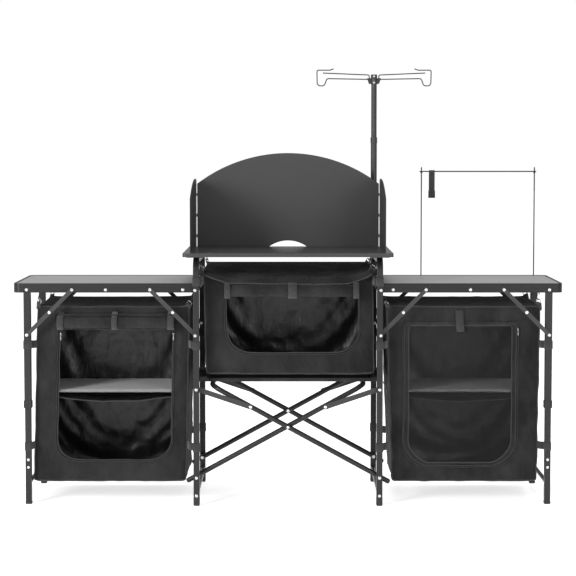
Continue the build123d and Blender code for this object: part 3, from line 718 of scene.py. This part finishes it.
# === rolled doors and ties ========================================================
def rolled_door(name, low, high, length, finish, flap_top):
    """A door rolled up under its ties: one sheet wound into a loose spiral, with its
    last stretch rising to the seam above the opening. low and high are the roll's box."""
    centre_y, centre_z = (low.y + high.y) / 2, (low.z + high.z) / 2
    outer = min(high.z - low.z, high.y - low.y) / 2 - 0.0012
    inner = 0.004
    turns = length / (math.pi * (outer + inner))
    columns = round((high.x - low.x) / 0.009)
    steps = round(turns * 26)
    vertices, faces = [], []
    for i in range(columns + 1):
        x = low.x + (high.x - low.x) * i / columns
        flat = 1 + 0.05 * noise.noise(Vector((x * 21, 3.1, centre_z)))
        tucked = 1 - 0.05 * math.exp(-((min(i, columns - i) / columns / 0.03) ** 2))
        for j in range(steps + 1):
            t = j / steps
            angle = math.pi / 2 - 2 * math.pi * turns * (1 - t)
            radius = (inner + (outer - inner) * t) * tucked
            ripple = noise.noise(Vector((x * 34, angle * 1.7, t * 5))) * 0.0011 * t
            y = centre_y + math.cos(angle) * (radius + ripple)
            z = centre_z + math.sin(angle) * (radius + ripple) * flat
            vertices.append((x, y, z))
        for j in range(1, 4):
            t = j / 3
            y = centre_y + (high.y - 0.001 - centre_y) * t
            z = centre_z + outer * (1 - t) ** 0.5 * flat + (flap_top - centre_z) * t
            vertices.append((x, y, z))
    made = piece(name, vertices, grid_faces(steps + 3, columns, True), [finish])
    cloth_layer(made, 0)
    return applied(made)


def tie(name, x, width, low, high, top_z, finish):
    """A webbing tie: from the seam above, down over the front of the roll, under it and
    back up behind."""
    centre = Vector((x, (low.y + high.y) / 2, (low.z + high.z) / 2))
    reach = (high.z - low.z) / 2 + 0.0012
    points = [(x, high.y - 0.0015, top_z)]
    for i in range(15):
        angle = math.radians(78 + 222 * i / 14)
        points.append(centre + Vector((0, math.cos(angle), math.sin(angle))) * reach)
    return band(name, points, (1, 0, 0), width, WEBBING, finish)


# === hangers, straps and zips ======================================================
STRAP_GAP = 0.0013


def held_by(made, body):
    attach(made, body)


def hanger(name, corner, anchor, finishes, body):
    """What holds a cupboard's top corner: a webbing tab sewn to it, a wire ring in the
    tab and a plastic hook that reaches the rim."""
    corner, anchor = Vector(corner), Vector(anchor)
    up = (anchor - corner).normalized()
    across = up.orthogonal().normalized()
    if abs(across.x) < abs(up.cross(across).x):
        across = up.cross(across)
    tab_end = corner + up * 0.014
    out = up.cross(across).normalized() * 0.0016
    sewn = [corner - up * 0.012 + out, corner + up * 0.002 + out, tab_end + out,
            tab_end + up * 0.003, tab_end - out, corner - out, corner - up * 0.01 - out]
    tab = band(name + "_tab", sewn, across, 0.019, 0.0012, finishes["webbing"])
    loop = ring(name + "_ring", tab_end + up * (RING_RADIUS - 0.001), out, RING_RADIUS, RING_WIRE,
                finishes["rivet"])
    start = tab_end + up * (2 * RING_RADIUS - 0.004)
    length = (anchor - start).length
    side = across * 0.006
    hook = [start + up * 0.002 - side * 0.9, start - up * 0.003, start + up * 0.003 + side,
            start + up * length * 0.45 + side * 0.5, start + up * (length - 0.006) + side * 0.4,
            anchor + side * 0.1, anchor - up * 0.005 - side * 0.8, anchor - up * 0.011 - side * 0.7]
    wire = tube(name + "_hook", rounded_path(hook, 0.004, 3), 0.0016, finishes["hardware"])
    for made, kind in ((tab, "strap_webbing"), (loop, "rivet_steel"), (wire, "cap_plastic")):
        held_by(made, body)


def leg_strap(name, centre, size, join, finish, body):
    """Webbing round a leg, with a tongue to where it is sewn to a cupboard's seam.
    centre and size are the leg's there, and join the place on the seam."""
    low, high = centre - size / 2, centre + size / 2
    x0, x1 = low.x - STRAP_GAP, high.x + STRAP_GAP
    y0, y1 = low.y - STRAP_GAP, high.y + STRAP_GAP
    corners = [Vector((x, y, centre.z)) for x, y in ((x0, y0), (x1, y0), (x1, y1), (x0, y1))]
    around = band(name, rounded_path(corners, 0.004, 3, True), (0, 0, 1), STRAP_TALL, WEBBING,
                  finish, True)
    start = min(corners, key=lambda c: (c - join).length)
    middle = (start + join) / 2 + Vector((0, 0, -0.0008))
    tongue = band(name + "_tongue", [start, middle, join], (0, 0, 1), STRAP_TALL * 0.94,
                  WEBBING * 1.3, finish)
    held_by(joined(name, [around, tongue]), body)


def slider(name, at, finishes, size=0.7):
    """A zip slider with its pull: a small waisted body, a bail and a tapered tab."""
    at = Vector(at)
    outline = [(0, 0.0075), (0.0035, 0.006), (0.0028, 0), (0.0038, -0.006), (0, -0.0075)]
    outline += [(-x, z) for x, z in outline[-2:0:-1]]
    layers = ((0.0, 0.9), (-0.0008, 1.0), (-0.003, 1.0), (-0.0038, 0.8))
    vertices = [at + Vector((x * scale, y, z * scale)) * size for y, scale in layers for x, z in outline]
    body = piece(name + "_body", vertices, wall(len(outline), len(layers)), [finishes["pull"]])
    bail = ring(name + "_bail", at + Vector((0, -0.0045, -0.003)) * size, (1, 0, 0), 0.0026 * size,
                0.0006, finishes["pull"])
    drops = ((-0.006, -0.005), (-0.0068, -0.012), (-0.006, -0.022), (-0.005, -0.027))
    tab = band(name + "_pull", [at + Vector((0, y, z)) * size for y, z in drops], (1, 0, 0),
               0.0052 * size, 0.0011, finishes["pull"])
    return joined(name, [body, bail, tab])


# === the cupboards ==================================================================
FRONT_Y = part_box("right_door")[0].y
REAR_Y = -FRONT_Y
# Openings, as round_corner takes them: x0, x1, z0, z1, lower and upper corner radius.
LEFT_HOLE = (-0.716, -0.361, 0.139, 0.553, 0.066, 0.006)
CENTRE_HOLE = (-0.196, 0.220, 0.480, 0.660, 0.076, 0.006)
CENTRE_HALF = 0.266
CENTRE_DROP = 0.034
# Leans, as cupboard_shell takes them: of the low side, of the high side, and their reach.
LEFT_LEAN = (-0.018, -0.010, 0.484)
RIGHT_LEAN = (0.018, -0.006, 0.050)
CENTRE_LEAN = (0.006, 0.008, 0.25)
BASE_TALL = 0.009
BASE_GAP = 0.0170
REAR_RISE = 0.009
# how far the band of painted shade under the centre cupboard stands in from its front and back
GAP_SHADE_BACK = 0.024
OUTER_LEG = Vector((0.818, 0.172, 0))
OUTER_SIZE = Vector((0.022, 0.020, 0))
FOOT_SIZE = Vector((0.019, 0.017, 0))
CENTRE_LEG = Vector((0.287, 0.201, 0))
CENTRE_SIZE = Vector((0.019, 0.019, 0))
STRAP_HEIGHTS = (0.505, 0.184)
CENTRE_STRAP = 0.705


class Bag:
    """What a cupboard's pieces share: its word, side, box, opening and way to move."""

    def __init__(self, word, low, high, hole):
        self.word, self.low, self.high, self.hole = word, Vector(low), Vector(high), hole
        self.side = {"left": -1, "right": 1}.get(word, 0)

    def box(self, ending):
        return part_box(f"{self.word}_{ending}")

    def moves(self, made, kind="oxford_cloth"):
        """Bakes a wing cupboard's piece into place, or parents a centre cupboard's piece to the left
        frame's body with a mesh of its own.
        """
        if self.side:
            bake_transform(made)
        else:
            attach(made, "left_frame")
            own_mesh(made)
        return made


def wing_bag(word):
    side = -1 if word == "left" else 1
    low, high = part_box(f"{word}_cupboard")
    shelf_low, shelf_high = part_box(f"{word}_shelf")
    near, far = sorted((abs(shelf_low.x), abs(shelf_high.x)))
    ends = sorted((side * (near - 0.010), side * (far + (0.015 if side > 0 else 0.009))))
    if side < 0:
        hole = LEFT_HOLE
    else:
        door_low, door_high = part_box("right_door")
        hole = (door_low.x, door_high.x, door_low.z + 0.020, door_high.z, 0.084, 0.006)
    return Bag(word, (ends[0], FRONT_Y, low.z), (ends[1], REAR_Y, high.z), hole)


def centre_bag():
    low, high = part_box("centre_cupboard")
    floor_z = low.z + BASE_TALL + BASE_GAP
    return Bag("centre", (-CENTRE_HALF, FRONT_Y, floor_z), (CENTRE_HALF, REAR_Y, high.z), CENTRE_HOLE)


def spots(bag, heights):
    """Where hangers and straps pull on the shell: its top corners and its upright
    seams at the straps' heights."""
    found = []
    for x in (bag.low.x, bag.high.x):
        for y in (bag.low.y, bag.high.y):
            for z in (*heights, bag.high.z):
                found.append(Vector((x, y, z)))
    return found


def sewn_shell(bag, finishes, heights, slack, front_drop=0.0, lean=(0.0, 0.0, 1.0)):
    held = spots(bag, heights)
    shell = cupboard_shell(bag.low, bag.high, bag.hole, held, front_drop, lean)
    made = piece(f"{bag.word}_cupboard_cloth", shell.vertices, shell.faces, [finishes["cloth"]])
    simulate(made, shell.weights, slack)
    thicken(made, finishes["lining"])
    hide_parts(f"{bag.word}_cupboard")
    size = bag.high - bag.low
    shell.runs["counts"] = [max(4, round(size[k] / GRID)) for k in (0, 2)]
    return bag.moves(made), shell.runs


def trim(bag, made, runs, finishes):
    """Piping round the opening, the zip beside it, its stitching, and the bound seams
    of the front panel."""
    edge, hem = (run_points(made, runs[run], -0.0006) for run in ("opening", "hem"))
    seam = run_points(made, runs["edge"], -0.0005)
    for ending, line, wire, finish, sides, kind in (
            ("opening_piping", edge, PIPING, "webbing", 8, "oxford_cloth"),
            ("zip_coil", between(edge, hem, 0.42, -0.0012), 0.0013, "zip", 6, "strap_webbing"),
            ("front_seam", seam, 0.0022, "webbing", 8, "oxford_cloth")):
        bag.moves(tube(f"{bag.word}_{ending}", line, wire, finishes[finish], sides, True), kind)
    for share in (0.2, 0.75):
        line = between(edge, hem, share, -0.0009)
        name = f"{bag.word}_opening_stitching_{round(share * 100)}"
        bag.moves(stitches(name, line + line[:1], finishes["thread"]))


def between(edge, hem, share, forward):
    return [a.lerp(b, share) + Vector((0, forward, 0)) for a, b in zip(edge, hem)]


def slab(name, low, high, radius, ease, finish, columns=24):
    """A thin board with rounded corners and eased edges, divided along its length."""
    vertices = []
    rings = ((0.0, ease), (ease, 0.0), (high.z - low.z - ease, 0.0), (high.z - low.z, ease))
    for rise, inset in rings:
        for corner, (sx, sy) in enumerate(((1, -1), (1, 1), (-1, 1), (-1, -1))):
            cx = (high.x if sx > 0 else low.x) - sx * radius
            cy = (high.y if sy > 0 else low.y) - sy * radius
            for k in range(7):
                angle = math.radians(-90 + 90 * corner + 15 * k)
                out = Vector((math.cos(angle), math.sin(angle), 0)) * (radius - inset)
                vertices.append(Vector((cx, cy, low.z + rise)) + out)
    count = len(vertices) // len(rings)
    made = piece(name, vertices, wall(count, len(rings)), [finish], False)
    cut = bmesh.new()
    cut.from_mesh(made.data)
    for k in range(1, columns):
        x = low.x + (high.x - low.x) * k / columns
        geometry = cut.verts[:] + cut.edges[:] + cut.faces[:]
        bmesh.ops.bisect_plane(cut, geom=geometry, plane_co=(x, 0, 0), plane_no=(1, 0, 0))
    cut.to_mesh(made.data)
    cut.free()
    return made


def shelf_board(bag, finishes):
    low, high = bag.box("shelf")
    made = slab(f"{bag.word}_shelf_board", low, high, 0.008, 0.0012, finishes["board"])
    # painted shade: the board's upright edges take the dark sleeve cloth instead of the light board, which
    # keeps the lamp-facing front edge from showing brighter than the top
    made.data.materials.append(finishes["hem"].material)
    for polygon in made.data.polygons:
        polygon.material_index = int(abs(polygon.normal.z) < 0.5)
    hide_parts(f"{bag.word}_shelf")
    bag.moves(made, "shelf_board")


def shelf_sling(bag, finishes):
    """The cloth that carries the shelf: sewn to the sides and back, slack in front."""
    low = bag.box("shelf")[0]
    x0, x1 = bag.low.x + 0.004, bag.high.x - 0.004
    y0, y1 = low.y + 0.004, bag.high.y - 0.004
    top = low.z - 0.003
    columns, rows = 40, 24
    vertices = []
    for j in range(rows + 1):
        v = j / rows
        for i in range(columns + 1):
            u = i / columns
            span = math.sin(math.pi * u) ** 0.8
            sag = 0.006 + 0.019 * (1 - v) ** 1.6
            crease = noise.noise(Vector((u * 7, v * 3, bag.side + 4.2))) * 0.0035 * span
            z = top - sag * span + crease - 0.002
            vertices.append((x0 + (x1 - x0) * u, y0 + (y1 - y0) * v, z))
    made = piece(f"{bag.word}_shelf_sling", vertices, grid_faces(columns, rows), [finishes["lining"]])
    cloth_layer(made, -1)
    applied(made)
    hem = tube(f"{bag.word}_shelf_hem", vertices[:columns + 1], 0.0016, finishes["webbing"])
    bag.moves(made)
    bag.moves(hem)


def door_roll(bag, finishes, ties, length):
    """The rolled door with its ties."""
    node = f"{bag.word}_door_roll"
    low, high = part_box(node)
    made = rolled_door(f"{bag.word}_rolled_door", low, high, length, finishes["cloth"], high.z + 0.003)
    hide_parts(node)
    bag.moves(made)
    for number, (x, width) in enumerate(ties, 1):
        strap = tie(f"{bag.word}_door_tie_{number}", x, width, low, high, high.z + 0.012,
                    finishes["webbing"])
        bag.moves(strap, "strap_webbing")


def door_patch(ring, columns, rows):
    """A surface over the settled opening: a function of (s, t) from its lower left
    corner, blended from the four runs of the opening's ring."""
    corners = (0, columns, columns + rows, 2 * columns + rows, len(ring))
    bottom, right, top, left = (ring[a:b] + [ring[b % len(ring)]]
                                for a, b in zip(corners, corners[1:]))
    top, left = top[::-1], left[::-1]

    def along(run, share):
        place = min(max(share, 0.0), 1.0) * (len(run) - 1)
        k = min(int(place), len(run) - 2)
        return run[k].lerp(run[k + 1], place - k)

    def at(s, t):
        across = along(bottom, s) * (1 - t) + along(top, s) * t
        upright = along(left, t) * (1 - s) + along(right, t) * s
        low_edge = bottom[0] * (1 - s) + bottom[-1] * s
        high_edge = top[0] * (1 - s) + top[-1] * s
        return across + upright - low_edge * (1 - t) - high_edge * t

    return at


def grid_marks(edges, low, high, parts):
    """Sorted places along one side: its edges, and the window between them in parts."""
    return sorted({*edges, low, high, *(low + (high - low) * k / parts for k in range(parts + 1))})


def closed_door(bag, made_cloth, runs, finishes):
    """The right cupboard's door: a mesh window in a cloth border, zipped shut."""
    x0, x1, z0, z1 = bag.hole[:4]
    left, right, low, high = x0 + 0.017, x1 - 0.016, z0 + 0.013, z1 - 0.006
    window = (left, right, low, high, 0.072, 0.004)
    patch = door_patch(run_points(made_cloth, runs["opening"], 0.0002), *runs["counts"])

    def place(x, z):
        u, v = (x - x0) / (x1 - x0), (z - z0) / (z1 - z0)
        swell = math.sin(math.pi * min(max(u, 0), 1)) * math.sin(math.pi * min(max(v, 0), 1))
        crease = noise.noise(Vector((u * 3.1 + v * 2.2, v * 1.7, 9.3)))
        fold = noise.noise(Vector((u * 9 - v * 4, v * 5, 2.7)))
        streak = noise.noise(Vector((u * 6 + v * 7, u * 0.8, 5.5)))
        rise = swell * (0.003 + 0.004 * crease + 0.0018 * fold + 0.0022 * streak)
        return patch(u, v) + Vector((0, rise, 0))

    marks_x = grid_marks((x0, x1), left, right, 44)
    marks_z = grid_marks((z0, z1), low, high, 58)
    vertices = []
    for z in marks_z:
        for x in marks_x:
            framed = left <= x <= right and low <= z <= high
            vertices.append(place(*(round_corner(x, z, window) if framed else (x, z))))
    near = 1e-6
    kinds = [int(left - near <= x and after <= right + near and low - near <= z and above <= high + near)
             for z, above in zip(marks_z, marks_z[1:]) for x, after in zip(marks_x, marks_x[1:])]
    made = piece("right_mesh_door", vertices, grid_faces(len(marks_x) - 1, len(marks_z) - 1),
                 [finishes["cloth"], finishes["netting"]], True, kinds)
    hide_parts("right_door")
    bag.moves(made, "mesh_door")

    outline = [(left, z) for z in np.linspace(high, low, 40)]
    outline += [(x, low) for x in np.linspace(left, right, 34)[1:]]
    outline += [(right, z) for z in np.linspace(low, high, 40)[1:]]
    outline += [(x, high) for x in np.linspace(right, left, 34)[1:-1]]
    line = [place(*round_corner(x, z, window)) + Vector((0, -0.0012, 0)) for x, z in outline]
    binding = tube("right_window_binding", line, 0.0019, finishes["webbing"], 8, True)
    sewn = stitches("right_window_stitching", [p + Vector((0, -0.0016, 0)) for p in line],
                    finishes["thread"])
    bag.moves(binding)
    bag.moves(sewn)


def header_band(bag, finishes, z):
    """The sewn line across the front above the door, and the loop for a rolled door."""
    steps, first, run = 40, bag.low.x + 0.012, bag.high.x - bag.low.x - 0.024
    line = [(first + run * i / steps, FRONT_Y - 0.0024, z) for i in range(steps + 1)]
    sewn = stitches("right_header_stitching", line, finishes["thread"])
    middle = (bag.hole[0] + bag.hole[1]) / 2 - 0.004
    loop = [(middle + x, FRONT_Y - out, z + up) for x, out, up in (
        (0, 0.002, 0.045), (0, 0.008, 0.030), (0.002, 0.013, 0), (0.003, 0.012, -0.018),
        (0.003, 0.008, -0.022), (0.002, 0.005, -0.010), (0, 0.0045, 0.020), (0, 0.0025, 0.043))]
    tab = band("right_door_loop", rounded_path(loop, 0.006, 4), (1, 0, 0), 0.024, WEBBING,
               finishes["webbing"])
    bag.moves(sewn)
    bag.moves(tab, "strap_webbing")


def wing_hangers(bag, finishes):
    """Outer corners hook on the rim, inner corners on the centre frame's legs."""
    rim_low, rim_high = bag.box("wing_rim")
    outer_x, inner_x = (bag.low.x, bag.high.x)[::-bag.side]
    top = bag.high.z - 0.004
    for y, word in ((bag.low.y, "front"), (bag.high.y, "rear")):
        way = 1 if y > 0 else -1
        rim = (outer_x - bag.side * 0.012, rim_high.y * way - way * 0.012, rim_low.z + 0.004)
        leg = (inner_x - bag.side * 0.010, way * (CENTRE_LEG.y - CENTRE_SIZE.y / 2 - 0.003),
               bag.high.z + 0.030)
        for place, x, anchor, body in (("outer", outer_x - bag.side * 0.004, rim, "wing"),
                                       ("inner", inner_x + bag.side * 0.004, leg, "frame")):
            hanger(f"{bag.word}_{place}_{word}_hanger", (x, y - way * 0.003, top), anchor, finishes,
                   f"{bag.word}_{body}")


def strap_set(bag, finishes, lean):
    """The webbing straps that hold a wing's cupboard to its four legs. lean is how far
    the foot of its low and its high side stand to the right."""
    outer, inner = ((bag.low.x, lean[0]), (bag.high.x, lean[1]))[::-bag.side]
    for z, outer_body, size in zip(STRAP_HEIGHTS, ("leg", "foot"), (OUTER_SIZE, FOOT_SIZE)):
        down = (bag.high.z - z) / (bag.high.z - bag.low.z)
        for way, word in ((-1, "front"), (1, "rear")):
            for leg, leg_size, body, (edge_x, shift), place in (
                    (OUTER_LEG, size, outer_body, outer, "outer"),
                    (CENTRE_LEG, CENTRE_SIZE, "frame", inner, "inner")):
                centre = Vector((bag.side * leg.x, way * leg.y, z))
                join = Vector((edge_x + shift * down, way * (REAR_Y - 0.002), z))
                leg_strap(f"{bag.word}_{place}_{word}_strap_{round(z * 1000)}", centre, leg_size,
                          join, finishes["webbing"], f"{bag.word}_{body}")


def centre_straps(bag, finishes):
    for side, word in ((-1, "left"), (1, "right")):
        for way, place in ((-1, "front"), (1, "rear")):
            centre = Vector((side * CENTRE_LEG.x, way * CENTRE_LEG.y, CENTRE_STRAP))
            join = Vector((side * CENTRE_HALF, way * (REAR_Y - 0.002), CENTRE_STRAP))
            leg_strap(f"centre_{word}_{place}_strap", centre, CENTRE_SIZE, join,
                      finishes["webbing"], f"{word}_frame")
            hanger(f"centre_{word}_{place}_hanger",
                   (side * (CENTRE_HALF - 0.004), way * (REAR_Y - 0.003), bag.high.z - 0.006),
                   (side * (CENTRE_LEG.x - 0.011), way * (CENTRE_LEG.y - 0.013), bag.high.z + 0.024),
                   finishes, f"{word}_frame")


def centre_hood(bag, finishes):
    """The cover over the centre cupboard's opening: a loose sheet from the rear seam
    that falls a little past the front edge."""
    columns, rows = 48, 34
    length = bag.high.y - bag.low.y + 0.040
    vertices, faces = [], []
    vertices = []
    for j in range(rows + 1):
        v = j / rows
        for i in range(columns + 1):
            u = i / columns
            end = min(u, 1 - u)
            slope = CENTRE_DROP * top_line(end)
            y = bag.high.y - length * v
            past = max(0.0, bag.low.y - y)
            y = max(y, bag.low.y - 0.030)
            wave = noise.noise(Vector((u * 5, v * 2.5, 6.1))) * 0.004
            ripple = noise.noise(Vector((u * 17, v * 9, 1.3))) * 0.0012
            drift = noise.noise(Vector((u * 2.3, 0.4, 8.8))) * 0.25
            fold = 0.008 * (1 - abs(math.sin(math.pi * (v * 4.4 + drift)))) ** 3 * min(1, v * 2) ** 2
            sag = 0.007 * math.sin(math.pi * u) * math.sin(math.pi * min(1, v * 1.15))
            loose = (wave + ripple + fold) * min(1, end * 9) * min(1, v * 6)
            z = bag.high.z - slope * min(1, v * 1.06) - sag + loose
            z -= 0.35 * past
            x = bag.low.x + 0.002 + (bag.high.x - bag.low.x - 0.004) * u
            vertices.append((x, y, z + 0.003))
    made = piece("centre_hood", vertices, grid_faces(columns, rows, True), [finishes["cloth"]])
    cloth_layer(made, 0)
    applied(made)
    stride = columns + 1
    front = [Vector(v) + Vector((0, -0.0004, 0)) for v in vertices[rows * stride:]]
    hem = tube("centre_hood_hem", front, 0.0020, finishes["webbing"])
    inner = [Vector(v) + Vector((0, 0, 0.0008)) for v in vertices[(rows - 2) * stride:(rows - 1) * stride]]
    sewn = stitches("centre_hood_stitching", inner, finishes["thread"])
    for part in (made, hem, sewn):
        bag.moves(part)


def centre_base(bag, finishes):
    """The board under the centre cupboard, in its cloth sleeve, and a near-black band set back between it
    and the front panel: painted shade for the dark gap there."""
    low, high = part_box("centre_cupboard")
    top = low.z + BASE_TALL
    sleeve = slab("centre_base_board", Vector((low.x, bag.low.y, low.z)),
                  Vector((high.x, bag.high.y, top)), 0.012, 0.0022, finishes["hem"])
    bag.moves(sleeve, "brace_coat")
    x0, x1 = bag.low.x + 0.009, bag.high.x - 0.006
    y0, y1 = bag.low.y + GAP_SHADE_BACK, bag.high.y - GAP_SHADE_BACK
    path = rounded_path([(x0, y0, 0), (x1, y0, 0), (x1, y1, 0), (x0, y1, 0)], 0.012, 5, True)
    dense = []
    for a, b in zip(path, path[1:] + path[:1]):
        parts = max(1, round((b - a).length / 0.012))
        dense += [a.lerp(b, k / parts) for k in range(parts)]
    ripple = [Vector((p.x, p.y + 0.0012 * noise.noise(Vector((p.x * 31, p.y * 31, 0))),
                      top + BASE_GAP / 2)) for p in dense]
    # painted shade: a near-black cloth band set back under the front panel stands in for the shade in that
    # gap
    bag.moves(band("centre_base_gap_shade", ripple, (0, 0, 1), BASE_GAP + 0.002, WEBBING,
                   finishes["gap_shade"], True))


def side_cupboard(word, finishes, lean):
    """A wing's cupboard with its door and its zip sliders, its shelf and what holds it."""
    bag = wing_bag(word)
    cloth, runs = sewn_shell(bag, finishes, STRAP_HEIGHTS, 0.007, lean=lean)
    trim(bag, cloth, runs, finishes)
    x0, x1, _, top = bag.hole[:4]
    if word == "left":
        door_roll(bag, finishes, ((-0.7145, 0.020), (-0.5446, 0.018), (-0.3680, 0.020)), 0.43)
        sliders = (("_a", x0, top - 0.018), ("_b", x1, top - 0.018))
    else:
        closed_door(bag, cloth, runs, finishes)
        header_band(bag, finishes, top - 0.004)
        sliders = (("", x1 + 0.005, top - 0.020),)
    for ending, x, z in sliders:
        pull = slider(f"{word}_zip_slider{ending}", (x, FRONT_Y - 0.003, z), finishes)
        bag.moves(pull, "rivet_steel")
    shelf_board(bag, finishes)
    shelf_sling(bag, finishes)
    wing_hangers(bag, finishes)
    strap_set(bag, finishes, lean)


def centre_cupboard(finishes):
    bag = centre_bag()
    cloth, runs = sewn_shell(bag, finishes, (CENTRE_STRAP,), 0.008, CENTRE_DROP, CENTRE_LEAN)
    trim(bag, cloth, runs, finishes)
    door_roll(bag, finishes, ((-0.190, 0.018), (0.014, 0.028), (0.213, 0.018)), 0.30)
    centre_hood(bag, finishes)
    centre_base(bag, finishes)
    centre_straps(bag, finishes)


# === finishes of the CAD nodes =====================================================
def knee(word, place):
    """The (x, z) of a brace's knee: the middle of where its two links overlap."""
    upper_low, upper_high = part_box(f"{word}_{place}_brace_upper")
    lower_low, lower_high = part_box(f"{word}_{place}_brace_lower")
    x = (max(upper_low.x, lower_low.x) + min(upper_high.x, lower_high.x)) / 2
    z = (max(upper_low.z, lower_low.z) + min(upper_high.z, lower_high.z)) / 2
    return x, z


def link_end(word):
    """The (x, z) of a side link's rivet on its crossed arm."""
    low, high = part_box(f"{word}_side_links")
    return (high.x - 0.008 if word == "left" else low.x + 0.008), low.z + 0.008


def coat(node, finish):
    """Gives a CAD node its material."""
    materials = bpy.data.objects[node].data.materials
    materials.clear()
    materials.append(finish.material)


def coat_nodes(finishes):
    sides = {
        "frame": ["side_frame", "lower_rail", "leg_tubes", "foot_frame"],
        "rivet": ["frame_rivets", "wing_rivets", "leg_rivets", "foot_buttons"],
        "plastic": ["frame_feet", "foot_caps"],
        "rim": ["wing_rim"],
        "top": ["wing_board"],
    }
    for word in ("left", "right"):
        face = -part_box(f"{word}_side_links")[0].y - 0.0021
        links = link_coat(f"{word}_link_coat", 50, [link_end(word)], face)
        coat(f"{word}_side_links", links)
        knees = [knee(word, place) for place in ("outer", "inner")]
        face = -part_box(f"{word}_outer_brace_lower")[0].y - 0.0026
        braces = link_coat(f"{word}_brace_coat", 50, knees, face)
        for place in ("outer", "inner"):
            for end in ("upper", "lower"):
                coat(f"{word}_{place}_brace_{end}", braces)
        for kind, endings in sides.items():
            for ending in endings:
                coat(f"{word}_{ending}", finishes[kind])
    others = {
        "frame": ["cross_arm_inner", "cross_arm_outer"],
        "rivet": ["cross_arm_rivets", "lamp_head_rivets"],
        "tray": ["cooktop_tray"],
        "screen": ["windscreen_back", "windscreen_left", "windscreen_right"],
        "rings": ["windscreen_hinge_rings"],
        "plastic": ["cooktop_saddles", "lamp_clamps"],
        "pole": ["lamp_pole_lower", "lamp_pole_upper"],
        "wire": ["lamp_hook_left", "lamp_hook_right", "towel_uprights", "towel_bar"],
        "webbing": ["towel_clip"],
    }
    for kind, nodes in others.items():
        for node in nodes:
            coat(node, finishes[kind])


def make_finishes():
    return {
        "frame": powder_coat("frame_coat", 30),
        "pole": powder_coat("pole_coat", 42, roughness=0.36),
        "wire": powder_coat("wire_coat", 24, roughness=0.38),
        "rings": powder_coat("hinge_ring_steel", 90, roughness=0.3),
        "hem": woven("base_sleeve", 44),
        "rivet": bright_metal("rivet_steel"),
        "pull": bright_metal("zip_pull_steel", 150),
        "plastic": moulded("cap_plastic", 28),
        "hardware": moulded("hook_plastic", 26),
        "rim": extrusion("rim_extrusion", 32),
        "top": worktop("board_top", 146),
        "tray": sheet_metal("cooktop_sheet", 34, 0.4, 0.2),
        "screen": sheet_metal("windscreen_sheet", 42, 0.5, 0.05),
        "cloth": woven("oxford_cloth", 36),
        "lining": lining("cloth_lining", 19),
        # painted shade: near-black cloth for the shaded gap under the centre cupboard
        "gap_shade": woven("gap_shade_cloth", 9, sheen=0.0),
        "netting": netting("door_netting", 28),
        "webbing": webbing("strap_webbing", 38),
        "thread": woven("seam_thread", 50, 0.0007, 0.7, 0.1),
        "zip": zip_teeth("zip_coil", 36),
        "board": board("shelf_laminate", 214),
    }


# === studio =========================================================================
WHITE = (1.0, 1.0, 1.0, 1.0)
LAMPS = {  # place, size, power
    "key": ((-3.2, -3.8, 2.0), (1.4, 2.0), 190),
    "fill": ((2.4, -4.6, 1.5), (1.8, 1.6), 60),
    "top": ((0.2, 0.4, 4.2), (3.4, 2.4), 90),
}
FLOOR_REACH = 40.0
SKY_STRENGTH = 0.48
LENS, SENSOR, SHIFT = 110, 36, -0.05
CAMERA_AWAY, CAMERA_HIGH, CAMERA_DOWN = 5.464, 1.122, 3.62


def floor():
    """A plain pale floor that runs to the horizon."""
    corners = [(x * FLOOR_REACH, y * FLOOR_REACH, 0) for x, y in ((-1, -1), (1, -1), (1, 1), (-1, 1))]
    piece("studio_floor", corners, [(0, 1, 2, 3)], [studio_paper()], False)


def lamp(name, place, size, power):
    light = bpy.data.lights.new(name, "AREA")
    light.shape = "RECTANGLE"
    light.size, light.size_y = size
    light.energy = power
    made = shown(name, light)
    made.location = place
    towards = (CAD_BOX[0] + CAD_BOX[1]) / 2 - Vector(place)
    made.rotation_euler = towards.to_track_quat("-Z", "Y").to_euler()


def studio_light():
    """A white backdrop; a dimmer sky for what it lights; a low key from the left."""
    world = bpy.data.worlds.new("studio")
    bpy.context.scene.world = world
    world.use_nodes = True
    tree = world.node_tree
    sky = tree.nodes["Background"]
    sky.inputs["Color"].default_value = WHITE
    sky.inputs["Strength"].default_value = SKY_STRENGTH
    backdrop = tree.nodes.new("ShaderNodeBackground")
    backdrop.inputs["Color"].default_value = WHITE
    path = tree.nodes.new("ShaderNodeLightPath")
    mix = tree.nodes.new("ShaderNodeMixShader")
    tree.links.new(path.outputs["Is Camera Ray"], mix.inputs[0])
    tree.links.new(sky.outputs[0], mix.inputs[1])
    tree.links.new(backdrop.outputs[0], mix.inputs[2])
    tree.links.new(mix.outputs[0], tree.nodes["World Output"].inputs["Surface"])
    for name, (place, size, power) in LAMPS.items():
        lamp(name, place, size, power)


def camera():
    """The photograph's view: straight on, a little above the cooktop, far back."""
    data = bpy.data.cameras.new("camera")
    data.lens, data.sensor_width, data.shift_y = LENS, SENSOR, SHIFT
    made = shown("camera", data)
    made.location = (0.0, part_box("left_side_frame")[0].y - CAMERA_AWAY, CAMERA_HIGH)
    made.rotation_euler = (math.radians(90 - CAMERA_DOWN), 0, 0)
    bpy.context.scene.camera = made


bpy.context.scene.view_settings.view_transform = "Standard"
camera()
studio_light()
floor()
FINISHES = make_finishes()
coat_nodes(FINISHES)
side_cupboard("left", FINISHES, LEFT_LEAN)
side_cupboard("right", FINISHES, RIGHT_LEAN)
centre_cupboard(FINISHES)
